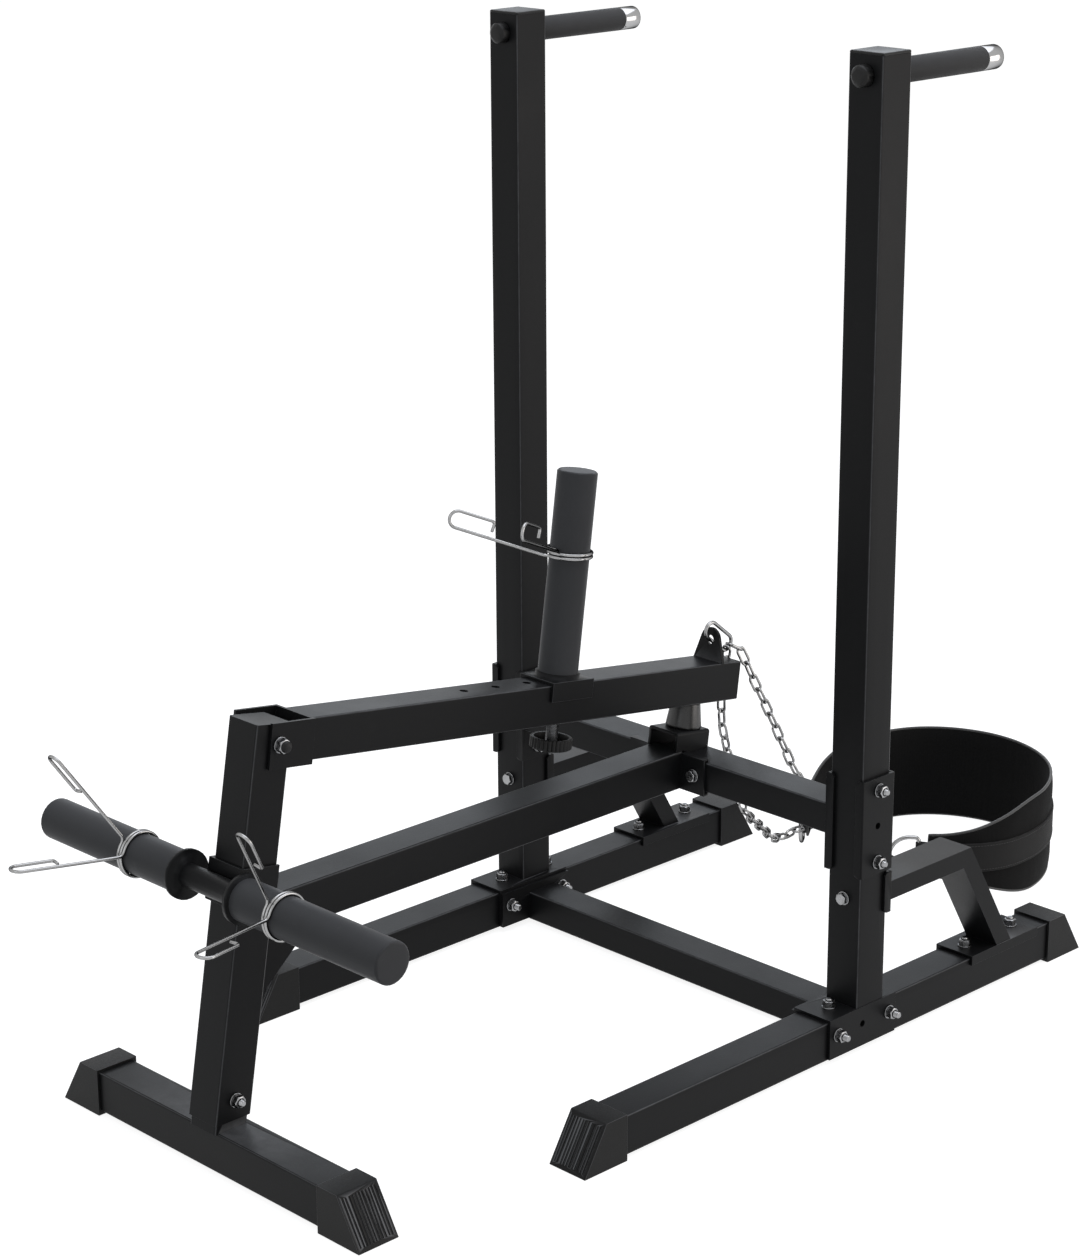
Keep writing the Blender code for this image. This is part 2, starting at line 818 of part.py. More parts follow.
def add_outer_channels(root):
    for side, sign in MIRRORED:
        body, inner = channel(CHANNEL_LENGTH, TUBE + 2 * SEAT, CHANNEL_FLANGE)
        turn = Matrix.Rotation(0 if sign > 0 else math.pi, 4, "Z")
        outer_face = UPRIGHT_X + TUBE / 2 + SEAT + PLATE
        place = Matrix.Translation((sign * outer_face, 0, CROSSBAR_Z)) @ turn
        cuts = [moved(inner, place)]
        cuts += [
            bolt_hole_x(sign * outer_face - TUBE / 4, sign * outer_face + TUBE / 4, 0, z)
            for z in (*crossbar_bolt_heights(), CROSSBAR_Z)
        ]
        solid(f"outer_channel_{side}", moved(body, place), powder_coat, root, removed=cuts)


# Rear braces


def inset(outline, distance):
    """A counter-clockwise outline moved inwards by a distance."""
    count = len(outline)
    lines = []
    for i in range(count):
        a = Vector(outline[i])
        b = Vector(outline[(i + 1) % count])
        along = (b - a).normalized()
        inward = Vector((-along.y, along.x)) * distance
        lines.append(((a + inward).to_3d(), (b + inward).to_3d()))
    corners = []
    for i in range(count):
        before, here = lines[i - 1], lines[i]
        meet = intersect_line_line(before[0], before[1], here[0], here[1])[0]
        corners.append((meet.x, meet.y))
    return corners


def brace_outline(saddle_top):
    """The bent tube in YZ, counter-clockwise seen from +X."""
    web = TUBE / 2 + SEAT + PLATE / 2
    drop = BRACE_TOP - saddle_top
    run = drop * math.tan(BRACE_LEAN)
    across_leg = BRACE_HEIGHT / math.cos(BRACE_LEAN)
    outer_foot = BRACE_BEND + run
    inner_foot = outer_foot - across_leg
    inner_rise = BRACE_TOP - BRACE_HEIGHT - saddle_top
    inner_bend = inner_foot - inner_rise * math.tan(BRACE_LEAN)
    return [
        (web, BRACE_TOP - BRACE_HEIGHT),
        (inner_bend, BRACE_TOP - BRACE_HEIGHT),
        (inner_foot, saddle_top),
        (outer_foot, saddle_top),
        (BRACE_BEND, BRACE_TOP),
        (web, BRACE_TOP),
    ]


def add_rear_brace(side, sign, root):
    x = sign * UPRIGHT_X
    saddle_top = RAIL_BOTTOM + TUBE + SEAT + PLATE
    flange_low = saddle_top - REAR_SADDLE_FLANGE
    body, saddle_inner = saddle(
        sign * RAIL_X, REAR_SADDLE_FRONT, REAR_SADDLE_REAR, flange_low
    )
    tube = shifted(across(brace_outline(saddle_top - PLATE / 2), TUBE / 2), x, 0, 0)
    hollow = inset(brace_outline(saddle_top - BRACE_WALL), BRACE_WALL)
    cavity = shifted(across(hollow, TUBE / 2 - BRACE_WALL), x, 0, 0)
    plate_height = BRACE_PLATE_HIGH - BRACE_PLATE_LOW
    plate, inner = channel(plate_height, TUBE + 2 * SEAT, CHANNEL_FLANGE)
    place = Matrix.Translation(
        (x, TUBE / 2 + SEAT + PLATE, (BRACE_PLATE_LOW + BRACE_PLATE_HIGH) / 2)
    )
    place = place @ Matrix.Rotation(math.pi / 2, 4, "Z")
    hole = bolt_hole_y(0, TUBE, x, brace_bolt_height())
    solid(
        f"rear_brace_{side}",
        tube,
        powder_coat,
        root,
        joined=[moved(plate, place), body],
        removed=[moved(inner, place), saddle_inner, cavity, hole],
    )


# Post, storage bar and centre beam


def add_front_post(root):
    top = POST_LENGTH - POST_CAP
    tube = moved(square_tube(TUBE, TUBE, -TRIMMED, top), post_frame())
    outline = rounded_rectangle(TUBE, TUBE, TUBE_CORNER)
    lid = moved(prism(outline, top - POST_CAP / 3, POST_LENGTH), post_frame())
    below = box(
        (-TUBE, POST_BASE_Y - 2 * TUBE, 0), (TUBE, POST_BASE_Y + 2 * TUBE, POST_BASE_Z)
    )
    cuts = [below]
    for height in (POST_BOLT_HEIGHT, STORAGE_HEIGHT):
        cuts.append(moved(bolt_hole_x(-TUBE, TUBE, 0, height), post_frame()))
    bore = cylinder(PIVOT_RADIUS + RUNNING_PLAY, -TUBE, TUBE, 24)
    cuts.append(shifted(along_x(bore), 0, PIVOT_Y, PIVOT_Z))
    solid("front_post", tube, powder_coat, root, joined=[lid], removed=cuts)


def storage_centre():
    return post_frame() @ Vector((0, -STORAGE_OUT, STORAGE_HEIGHT))


def add_storage_bar(root):
    half = [
        (STORAGE_DISC_X, STORAGE_ROD_RADIUS),
        (STORAGE_DISC_X, STORAGE_DISC_RADIUS),
        (STORAGE_DISC_X + STORAGE_DISC_WIDTH, STORAGE_DISC_RADIUS),
        (STORAGE_DISC_X + STORAGE_DISC_WIDTH, SLEEVE_RADIUS),
        (STORAGE_HALF - EDGE, SLEEVE_RADIUS),
        (STORAGE_HALF, SLEEVE_RADIUS - EDGE),
    ]
    sections = [(-x, radius) for x, radius in reversed(half)] + half
    centre = storage_centre()
    bar = shifted(along_x(ring_stack(sections, 26)), *centre)
    half_inner = TUBE / 2 + SEAT
    low = STORAGE_HEIGHT - STORAGE_CLAMP_BELOW
    high = STORAGE_HEIGHT + STORAGE_CLAMP_ABOVE
    clamp = box(
        (-half_inner - PLATE, -half_inner - PLATE, low), (half_inner + PLATE, TUBE / 2, high)
    )
    space = box((-half_inner, -half_inner, low - PLATE), (half_inner, TUBE, high + PLATE))
    hole = bolt_hole_x(-TUBE, TUBE, 0, STORAGE_HEIGHT)
    frame = post_frame()
    solid(
        "storage_bar",
        moved(clamp, frame),
        powder_coat,
        root,
        joined=[bar],
        removed=[moved(space, frame), moved(hole, frame)],
    )


def add_centre_beam(root):
    crossbar_front = -TUBE / 2 - SEAT
    middle = BEAM_TOP - TUBE / 2
    rear = crossbar_front - PLATE / 2
    front = POST_BASE_Y + TUBE - EDGE
    tube = shifted(along_y(square_tube(TUBE, TUBE, front, rear)), 0, 0, middle)
    body, inner = channel(2 * BEAM_PLATE_HALF, FLAT_HEIGHT + 2 * SEAT, CHANNEL_FLANGE)
    # The channel lies along X with its web towards the post.
    lie = Matrix(((0, 0, 1), (-1, 0, 0), (0, -1, 0))).to_4x4()
    place = Matrix.Translation((0, crossbar_front - PLATE, CROSSBAR_Z)) @ lie
    beam_low = BEAM_TOP - TUBE
    post_rear = post_frame() @ Vector((0, TUBE / 2, (beam_low - POST_BASE_Z)))
    gusset = across(
        [
            (post_rear.y - TRIMMED, beam_low - GUSSET),
            (post_rear.y - GUSSET * math.tan(POST_LEAN), beam_low - GUSSET),
            (post_rear.y + GUSSET, beam_low + TUBE_WALL / 2),
            (post_rear.y - TRIMMED, beam_low + TUBE_WALL / 2),
        ],
        GUSSET_THICK / 2,
    )
    plug = box((-TUBE, -TUBE, -TRIMMED), (TUBE, TUBE / 2 + SEAT, POST_LENGTH + TUBE))
    cuts = [moved(plug, post_frame()), moved(inner, place)]
    for _, sign in MIRRORED:
        x = sign * BEAM_BOLT_X
        cuts.append(bolt_hole_y(crossbar_front - 2 * PLATE, 0, x, CROSSBAR_Z))
    plates = [moved(body, place), gusset]
    solid("centre_beam", tube, powder_coat, root, joined=plates, removed=cuts)


# Lever and what it carries


def add_lever_arm(lever):
    tube = along_y(square_tube(TUBE, TUBE, EAR_WEB + PLATE / 2, LEVER_END))
    left = -TUBE / 2 - EAR_GAP_LEFT
    right = TUBE / 2 + EAR_PLAY
    low = -TUBE / 2 - EAR_BELOW
    clevis = box((left - PLATE, EAR_FRONT, low), (right + PLATE, EAR_WEB + PLATE, TUBE / 2))
    space = box((left, EAR_FRONT - PLATE, low - PLATE), (right, EAR_WEB, TUBE))
    eye = eye_plate_shape()
    cuts = [space]
    bore = cylinder(PIVOT_RADIUS + RUNNING_PLAY, -TUBE, TUBE, 24)
    cuts.append(along_x(bore))
    for k in range(PIN_HOLES + 1):
        cuts.append(pin_hole(-TUBE, TUBE, SLEEVE_S - k * HOLE_PITCH))
    eye_hole = along_y(cylinder(EYE_HOLE_RADIUS, -0.01, 0.01, 20))
    cuts.append(shifted(eye_hole, 0, EYE_S, EYE_HEIGHT))
    solid("lever_arm", tube, powder_coat, lever, joined=[clevis, eye], removed=cuts)


def eye_plate_shape():
    """A plate across the lever, with straight sides up to a round top."""
    base = Vector((TUBE / 2, TUBE / 2 - TUBE_WALL / 2))
    centre = Vector((0, EYE_HEIGHT))
    reach = (base - centre).length
    start = math.atan2(base.y - centre.y, base.x) + math.acos(EYE_ROUND / reach)
    outline = [(-base.x, base.y), (base.x, base.y)]
    steps = 8
    for step in range(steps + 1):
        turn = start + (math.pi - 2 * start) * step / steps
        outline.append((EYE_ROUND * math.cos(turn), centre.y + EYE_ROUND * math.sin(turn)))
    stand = Matrix(((1, 0, 0), (0, 0, -1), (0, 1, 0))).to_4x4()
    plate = moved(prism(outline, -EYE_PLATE / 2, EYE_PLATE / 2), stand)
    return shifted(plate, 0, EYE_S, 0)


def add_weight_sleeve(lever):
    top = TUBE / 2 + SEAT
    half = TUBE / 2 + SEAT
    carriage = box(
        (-half - PLATE, SLEEVE_S - CARRIAGE_HALF, top + PLATE - CARRIAGE_FLANGE),
        (half + PLATE, SLEEVE_S + CARRIAGE_HALF, top + PLATE),
    )
    space = box((-half, SLEEVE_S - TUBE, -TUBE), (half, SLEEVE_S + TUBE, top))
    base = top + PLATE
    sections = [
        (base - PLATE / 2, SLEEVE_RING_RADIUS),
        (base + SLEEVE_RING_HEIGHT, SLEEVE_RING_RADIUS),
        (base + SLEEVE_RING_HEIGHT, SLEEVE_RADIUS),
        (SLEEVE_TOP - EDGE, SLEEVE_RADIUS),
        (SLEEVE_TOP, SLEEVE_RADIUS - EDGE),
    ]
    sleeve = shifted(ring_stack(sections, 26), 0, SLEEVE_S, 0)
    bore = pin_hole(0, base + KNOB_SCREW_DEPTH, SLEEVE_S)
    solid(
        "weight_sleeve", carriage, powder_coat, lever, joined=[sleeve], removed=[space, bore]
    )


def add_knob(lever):
    """A ribbed cup on a shaft, turning on the sleeve's axis."""
    axis = empty("knob_axis", Matrix.Translation((0, SLEEVE_S, 0)), lever)
    rim = -TUBE / 2 - KNOB_DROP
    bottom = rim - KNOB_HEIGHT
    floor = bottom + KNOB_WALL
    outer = [
        (bottom, KNOB_RADIUS - KNOB_RIB),
        (bottom + KNOB_RIB, KNOB_RADIUS),
        (rim, KNOB_RADIUS),
    ]

    def ribbed(radius, side):
        return radius - KNOB_RIB if side % 2 else radius

    cup = ring_stack(outer, 2 * KNOB_RIBS, ribbed)
    hollow = cylinder(KNOB_RADIUS - KNOB_RIB - KNOB_WALL, floor, rim + KNOB_WALL, 24)
    screw_top = TUBE / 2 + KNOB_SCREW_DEPTH
    shaft = ring_stack(
        [
            (bottom + KNOB_WALL / 2, KNOB_SHAFT_RADIUS),
            (-TUBE / 2 - SEAT, KNOB_SHAFT_RADIUS),
            (-TUBE / 2 - SEAT, KNOB_SCREW_RADIUS),
            (screw_top, KNOB_SCREW_RADIUS),
        ],
        16,
    )
    work = solid("cup_work", cup, black_plastic, axis, removed=[hollow])
    solid("sleeve_knob", shape_of(work), black_plastic, axis, joined=[shaft])


def add_pivot_bolt(root):
    """The lever's axle: a round head and a spacer on the left, a nut on the right."""
    face = TUBE / 2 + EAR_PLAY + PLATE + SEAT
    washer = face + WASHER_HEIGHT
    nut = washer + PIVOT_NUT_HEIGHT
    left_face = -TUBE / 2 - EAR_GAP_LEFT - PLATE - SEAT
    left_washer = left_face - WASHER_HEIGHT
    head_end = left_washer - PIVOT_HEAD_HEIGHT
    shank = cylinder(PIVOT_RADIUS, left_washer, nut + BOLT_TAIL, 24)
    head = [
        (head_end, PIVOT_HEAD_RADIUS - PIVOT_HEAD_EDGE),
        (head_end + PIVOT_HEAD_EDGE, PIVOT_HEAD_RADIUS),
        (left_washer + SEAT, PIVOT_HEAD_RADIUS),
    ]
    spacer_end = -TUBE / 2 - EAR_GAP_LEFT + SEAT
    pieces = [
        ring_stack(head, 16),
        cylinder(PIVOT_WASHER_RADIUS, left_washer, left_face, 16),
        cylinder(PIVOT_SPACER_RADIUS, spacer_end, -TUBE / 2 - SEAT, 16),
        cylinder(PIVOT_WASHER_RADIUS, face, washer, 16),
        hexagon(PIVOT_NUT_HALF_FLAT, washer - SEAT, nut),
    ]
    made = solid("pivot_bolt", shank, bright_steel, root, joined=pieces)
    place = Matrix.Translation((0, PIVOT_Y, PIVOT_Z))
    made.matrix_local = place @ Matrix.Rotation(math.pi / 2, 4, "Y")


# Bumper


def add_bumper(root):
    frame = lever_frame()
    top = -TUBE / 2 - SEAT
    foot = top - BUMPER_HEIGHT
    sections = [
        (foot, BUMPER_FOOT_RADIUS - EDGE / 2),
        (foot + EDGE / 2, BUMPER_FOOT_RADIUS),
        (top - EDGE, BUMPER_TOP_RADIUS),
        (top, BUMPER_TOP_RADIUS - EDGE),
    ]
    cone = shifted(ring_stack(sections, 28), 0, BUMPER_S, 0)
    solid("rubber_bumper", moved(cone, frame), black_rubber, root)
    half = TUBE / 2
    plate_top = foot - SEAT
    low = plate_top - TUBE - 2 * PLATE
    front = BUMPER_S - BRACKET_FRONT
    rear = BUMPER_S + BRACKET_REAR
    hood = box((-half, front, low), (half, rear, plate_top))
    space = box(
        (-half + PLATE, front - PLATE, low - PLATE), (half - PLATE, rear + PLATE, plate_top - PLATE)
    )
    crossbar_top = CROSSBAR_Z + FLAT_HEIGHT / 2 + SEAT
    lip_top = crossbar_top + PLATE + SEAT
    lip_rear = -TUBE / 2 - SEAT - PLATE + CHANNEL_FLANGE + SEAT
    under = box((-TUBE, -TUBE, 0), (TUBE, TUBE, crossbar_top))
    under_lip = box((-TUBE, -2 * TUBE, 0), (TUBE, lip_rear, lip_top))
    over_beam = box((-TUBE, -2 * TUBE, 0), (TUBE, -TUBE / 2 + SEAT, BEAM_TOP + SEAT))
    cuts = [moved(space, frame), under, under_lip, over_beam]
    solid("bumper_bracket", moved(hood, frame), powder_coat, root, removed=cuts)


# Handles


def add_handles(root):
    for side, sign in MIRRORED:
        x = sign * UPRIGHT_X
        core = [
            (-TUBE / 2, HANDLE_CORE_RADIUS),
            (HANDLE_GRIP_END, HANDLE_CORE_RADIUS),
            (HANDLE_GRIP_END, HANDLE_GRIP_RADIUS),
            (HANDLE_END - EDGE, HANDLE_GRIP_RADIUS),
            (HANDLE_END, HANDLE_GRIP_RADIUS - EDGE),
        ]
        bar = shifted(along_y(ring_stack(core, HANDLE_SIDES)), x, 0, HANDLE_Z)
        solid(f"handle_tube_{side}", bar, bright_steel, root)
        grip_start = TUBE / 2 + SEAT
        grip_end = HANDLE_GRIP_END - SEAT
        grip = cylinder(HANDLE_GRIP_RADIUS, grip_start, grip_end, HANDLE_SIDES)
        bore = cylinder(HANDLE_CORE_RADIUS + SEAT, 0, HANDLE_END, HANDLE_SIDES)
        solid(
            f"handle_grip_{side}",
            shifted(along_y(grip), x, 0, HANDLE_Z),
            black_rubber,
            root,
            removed=[shifted(along_y(bore), x, 0, HANDLE_Z)],
        )
        face = -TUBE / 2 - SEAT
        plug = [
            (face - HANDLE_PLUG_HEIGHT, HANDLE_PLUG_RADIUS - 2.5 * EDGE),
            (face - HANDLE_PLUG_HEIGHT + EDGE, HANDLE_PLUG_RADIUS - 0.75 * EDGE),
            (face - HANDLE_PLUG_HEIGHT + 2 * EDGE, HANDLE_PLUG_RADIUS),
            (face, HANDLE_PLUG_RADIUS),
        ]
        cap = shifted(along_y(ring_stack(plug, HANDLE_SIDES)), x, 0, HANDLE_Z)
        solid(f"handle_plug_{side}", cap, black_plastic, root)


# Spring collars


def collar_path():
    """The wire of a spring collar round Z, with its arms to either side of +X.

    The wire starts at the end of one finger loop, runs down its arm, makes the
    turns and leaves by the other arm.
    """
    radius = SLEEVE_RADIUS + SEAT + WIRE_RADIUS
    total = 2 * math.pi * COIL_TURNS + ARM_SPREAD
    rise = COIL_PITCH * total / (2 * math.pi)
    first = arm_points(radius, -ARM_SPREAD / 2, -1, -rise / 2)
    last = arm_points(radius, ARM_SPREAD / 2, 1, rise / 2)
    count = round(COIL_POINTS * total / (2 * math.pi))
    coil = []
    for k in range(1, count):
        turn = -ARM_SPREAD / 2 + total * k / count
        height = -rise / 2 + rise * k / count
        coil.append(Vector((radius * math.cos(turn), radius * math.sin(turn), height)))
    return [*reversed(first), *coil, *last]


def arm_points(radius, turn, way, height):
    """From the coil outwards: a bend, the arm, the finger loop and its short end."""
    out = Vector((math.cos(turn), math.sin(turn), 0))
    side = Vector((-math.sin(turn), math.cos(turn), 0)) * way
    up = Vector((0, 0, 1))
    centre = out * (radius + ARM_BEND) + up * height
    last = math.pi / 2 - ARM_SPLAY
    points = []
    for step in range(4):
        bend = last * step / 3
        points.append(centre - out * ARM_BEND * math.cos(bend) + side * ARM_BEND * math.sin(bend))
    level = side * math.cos(last) + out * math.sin(last)
    along = level * math.cos(ARM_TILT) + up * math.sin(ARM_TILT)
    rising = up * math.cos(ARM_TILT) - level * math.sin(ARM_TILT)
    start = points[-1]
    bow = LOOP_WIDTH / 2
    tip = start + along * ARM_LENGTH
    points.append(start + along * ARM_LENGTH / 2)
    points.append(tip)
    for step in range(1, 7):
        bend = math.pi * step / 6
        points.append(tip + rising * bow * (1 - math.cos(bend)) + along * bow * math.sin(bend))
    corner = LOOP_CORNER
    back = points[-1] - along * (LOOP_LENGTH - corner)
    points.append(back)
    for step in range(1, 4):
        bend = math.pi / 2 * step / 3
        points.append(
            back - along * corner * math.sin(bend) - rising * corner * (1 - math.cos(bend))
        )
    points.append(points[-1] - rising * (LOOP_WIDTH - corner - 2 * WIRE_RADIUS - LOOP_STUB))
    return points


def least_gap(path, radius, skip):
    """The least open distance from a wire to itself, between points that far apart."""
    least = math.inf
    for i in range(len(path) - 1):
        for j in range(i + skip, len(path) - 1):
            least = min(least, segment_distance(path[i], path[i + 1], path[j], path[j + 1]))
    return least - 2 * radius


def segment_distance(a, b, c, d):
    """The distance between two segments."""
    best = math.inf
    for s in (0.0, 0.25, 0.5, 0.75, 1.0):
        point = a.lerp(b, s)
        line = d - c
        t = max(0.0, min(1.0, (point - c).dot(line) / line.length_squared))
        best = min(best, (point - c.lerp(d, t)).length)
    return best


def add_collars(root, lever):
    path = collar_path()
    gap = least_gap(path, WIRE_RADIUS, 8)
    print(f"spring collar: least gap to itself {gap * 1000:.2f} mm")
    mesh = mesh_of("spring_collar", sweep(path, WIRE_RADIUS, 5))
    mesh.polygons.foreach_set("use_smooth", [True] * len(mesh.polygons))
    # Storage bar: Z of the collar outwards, its arms to the front and up.
    axis = storage_centre()
    middle = Vector((0, -math.cos(STORAGE_COLLAR_TURN), math.sin(STORAGE_COLLAR_TURN)))
    for side, sign, x in (("left", -1, LEFT_COLLAR_X), ("right", 1, RIGHT_COLLAR_X)):
        place = frame_from(middle, Vector((sign, 0, 0)), (x, axis.y, axis.z))
        add_object(f"storage_collar_{side}", mesh, bright_steel, root, place)
    middle = Vector((math.cos(SLEEVE_COLLAR_TURN), math.sin(SLEEVE_COLLAR_TURN), 0))
    height = TUBE / 2 + SEAT + PLATE + SLEEVE_COLLAR_HEIGHT
    place = frame_from(middle, Vector((0, 0, 1)), (0, SLEEVE_S, height))
    add_object("sleeve_collar", mesh, bright_steel, lever, place)


def frame_from(x_axis, z_axis, origin):
    y_axis = z_axis.cross(x_axis)
    turn = Matrix((x_axis, y_axis, z_axis)).transposed().to_4x4()
    return Matrix.Translation(origin) @ turn


# Hook, chain and belt


def hook_frame(origin):
    """The hook's way down, its way over the eye plate, and its centre."""
    along = Vector((0, math.cos(HOOK_SLOPE), -math.sin(HOOK_SLOPE)))
    over = Vector((0, math.sin(HOOK_SLOPE), math.cos(HOOK_SLOPE)))
    return along, over, origin + along * HOOK_BACK + over * HOOK_LOW


def hook_bow(origin, turn):
    """A point on the hook's lower bow, and the way out from its middle there."""
    along, over, centre = hook_frame(origin)
    out = along * math.cos(turn) + over * math.sin(turn)
    straight = HOOK_HALF_LENGTH - HOOK_HALF_WIDTH
    return centre + along * straight + out * HOOK_HALF_WIDTH, out


def add_hook(belt_axis):
    along, over, centre = hook_frame(Vector((0, 0, 0)))
    straight = HOOK_HALF_LENGTH - HOOK_HALF_WIDTH
    path = []
    for sign in (1, -1):
        for step in range(7):
            turn = math.pi * step / 6 - math.pi / 2
            path.append(
                centre
                + sign * along * (straight + HOOK_HALF_WIDTH * math.cos(turn))
                + sign * over * HOOK_HALF_WIDTH * math.sin(turn)
            )
    solid("hook_link", sweep(path, HOOK_RADIUS, 8, closed=True), bright_steel, belt_axis)


def link_shape(here, along, across_way):
    """One oval link centred at a point, long way along, wide way across."""
    end = LINK_PITCH / 2 + LINK_WIRE - LINK_OVERLAP
    straight = end - LINK_HALF_WIDTH
    path = []
    for sign in (1, -1):
        for step in range(3):
            turn = math.pi * step / 2 - math.pi / 2
            path.append(
                here
                + sign * along * (straight + LINK_HALF_WIDTH * math.cos(turn))
                + sign * across_way * LINK_HALF_WIDTH * math.sin(turn)
            )
    return sweep(path, LINK_WIRE, 4, closed=True)


def chain_path(origin, turn, lean, controls, tip):
    """The middle line of a chain from the hook's bow to a ring's tip."""
    bow, out = hook_bow(origin, turn)
    down = (out + Vector((lean, 0, 0))).normalized()
    arrive = (tip - Vector(controls[-1])).normalized()
    past_end = LINK_WIRE - LINK_OVERLAP
    slant = math.sin(LINK_END_ANGLE)
    hold = (HOOK_RADIUS + LINK_WIRE + SEAT) / slant - past_end
    ring_hold = (RING_WIRE + LINK_WIRE + SEAT) / slant - past_end
    full = [
        bow - down * hold,
        bow + down * (LINK_PITCH - hold),
        *(Vector(point) for point in controls),
        tip - arrive * (LINK_PITCH - ring_hold),
        tip + arrive * ring_hold,
    ]
    return smooth_path(full, LINK_PITCH, odd=True)


def add_chain(name, path, belt_axis):
    """Links set a quarter turn to each other, each joined to the next where they touch."""
    origin = belt_axis.matrix_local.translation
    path = [point - origin for point in path]
    level = Vector((1, 0, 0))
    shapes = []
    for i in range(len(path) - 1):
        along = (path[i + 1] - path[i]).normalized()
        level = (level - along * level.dot(along)).normalized()
        across_way = along.cross(level) if i % 2 else level
        shapes.append(link_shape((path[i] + path[i + 1]) / 2, along, across_way))
    solid(name, shapes[0], bright_steel, belt_axis, joined=shapes[1:])


def add_chains(belt_axis):
    origin = belt_axis.matrix_local.translation
    tips = [
        bar + off * RING_REACH + Vector((0, 0, belt_middle(0)))
        for bar, off in ring_bars(belt_stations())
    ]
    left = chain_path(origin, LEFT_CHAIN_TURN, LEFT_CHAIN_LEAN, LEFT_CHAIN_PATH, tips[0])
    right = chain_path(origin, RIGHT_CHAIN_TURN, RIGHT_CHAIN_LEAN, RIGHT_CHAIN_PATH, tips[1])
    for side, path in (("left", left), ("right", right)):
        length = sum((b - a).length for a, b in zip(path, path[1:]))
        print(f"chain_{side}: {len(path) - 1} links, {length * 1000:.0f} mm")
        add_chain(f"chain_{side}", path, belt_axis)


def belt_stations():
    """Points along the belt, each with its outward direction and its end share."""
    path = smooth_path([Vector((x, y, 0)) for x, y in BELT_PLAN], BELT_STEP)
    total = len(path) - 1
    stations = []
    for k in range(BELT_STATIONS + 1):
        i = round(total * k / BELT_STATIONS)
        before = path[max(0, i - 1)]
        after = path[min(total, i + 1)]
        along = (after - before).normalized()
        outward = Vector((-along.y, along.x, 0))
        from_end = min(i, total - i) * BELT_STEP
        share = min(1.0, from_end / BELT_TAPER)
        share = share * share * (3 - 2 * share)
        stations.append((path[i], along, outward, share))
    return stations


def band(stations, profile_at):
    """A closed band through the stations. profile_at gives (outward, height) points."""
    points = []
    faces = []
    size = 0
    for here, _, outward, share in stations:
        profile = profile_at(share)
        size = len(profile)
        for out, height in profile:
            points.append(tuple(here + outward * out + Vector((0, 0, height))))
    for ring in range(len(stations) - 1):
        for side in range(size):
            a = ring * size + side
            b = ring * size + (side + 1) % size
            faces.append((a, b, b + size, a + size))
    faces.append(tuple(reversed(range(size))))
    last = (len(stations) - 1) * size
    faces.append(tuple(range(last, last + size)))
    return points, faces


def belt_middle(share):
    """The height of the belt's middle line. The chain lifts its ends a little."""
    return BELT_HEIGHT / 2 + BELT_END_LIFT * (1 - share)


def belt_profile(share):
    half = (BELT_END_HEIGHT + (BELT_HEIGHT - BELT_END_HEIGHT) * share) / 2
    middle = belt_middle(share)
    thick = BELT_THICK / 2
    edge = BELT_EDGE
    return [
        (-thick, middle - half + edge),
        (-thick + edge, middle - half),
        (thick - edge, middle - half),
        (thick, middle - half + edge),
        (thick, middle + half - edge),
        (thick - edge, middle + half),
        (-thick + edge, middle + half),
        (-thick, middle + half - edge),
    ]


def strap_profile(share):
    middle = belt_middle(share)
    low = BELT_THICK / 2 + SEAT
    high = low + STRAP_THICK
    half = STRAP_WIDTH / 2
    return [
        (low, middle - half),
        (high, middle - half),
        (high, middle + half),
        (low, middle + half),
    ]


def ring_bars(stations):
    """For each belt end: where the ring's bar stands, and the way off the belt."""
    bars = []
    out = BELT_THICK / 2 + SEAT + STRAP_THICK / 2
    for (here, along, outward, _), way in ((stations[0], -1), (stations[-1], 1)):
        off = way * along
        bars.append((here + outward * out + off * STRAP_REACH, off))
    return bars


def add_belt(belt_axis):
    origin = belt_axis.matrix_local.translation
    back = Matrix.Translation(-origin)
    stations = belt_stations()
    pad = band(stations, belt_profile)
    solid("belt_pad", moved(pad, back), black_fabric, belt_axis)
    strap = band(stations, strap_profile)
    middle = belt_middle(0)
    joined = []
    removed = []
    bars = ring_bars(stations)
    eye = RING_WIRE + SEAT + STRAP_THICK
    for bar, off in bars:
        low = middle - STRAP_WIDTH / 2
        high = middle + STRAP_WIDTH / 2
        tab_out = Vector((-off.y, off.x, 0)) * STRAP_THICK / 2
        start = bar - off * (STRAP_REACH + 2 * EDGE)
        tab = [start - tab_out, bar - tab_out, bar + tab_out, start + tab_out]
        joined.append(moved(prism([(p.x, p.y) for p in tab], low, high), back))
        loop = shifted(cylinder(eye, low, high, 16), bar.x, bar.y, 0)
        joined.append(moved(loop, back))
        hole = cylinder(RING_WIRE + SEAT, low - STRAP_REACH, high + STRAP_REACH, 16)
        removed.append(moved(shifted(hole, bar.x, bar.y, 0), back))
    strap = moved(strap, back)
    solid("belt_strap", strap, black_fabric, belt_axis, joined=joined, removed=removed)
    for (side, _), (bar, off) in zip(MIRRORED, bars):
        path = ring_path(bar, off, middle)
        ring = sweep([point - origin for point in path], RING_WIRE, 6, closed=True)
        solid(f"belt_ring_{side}", ring, bright_steel, belt_axis)


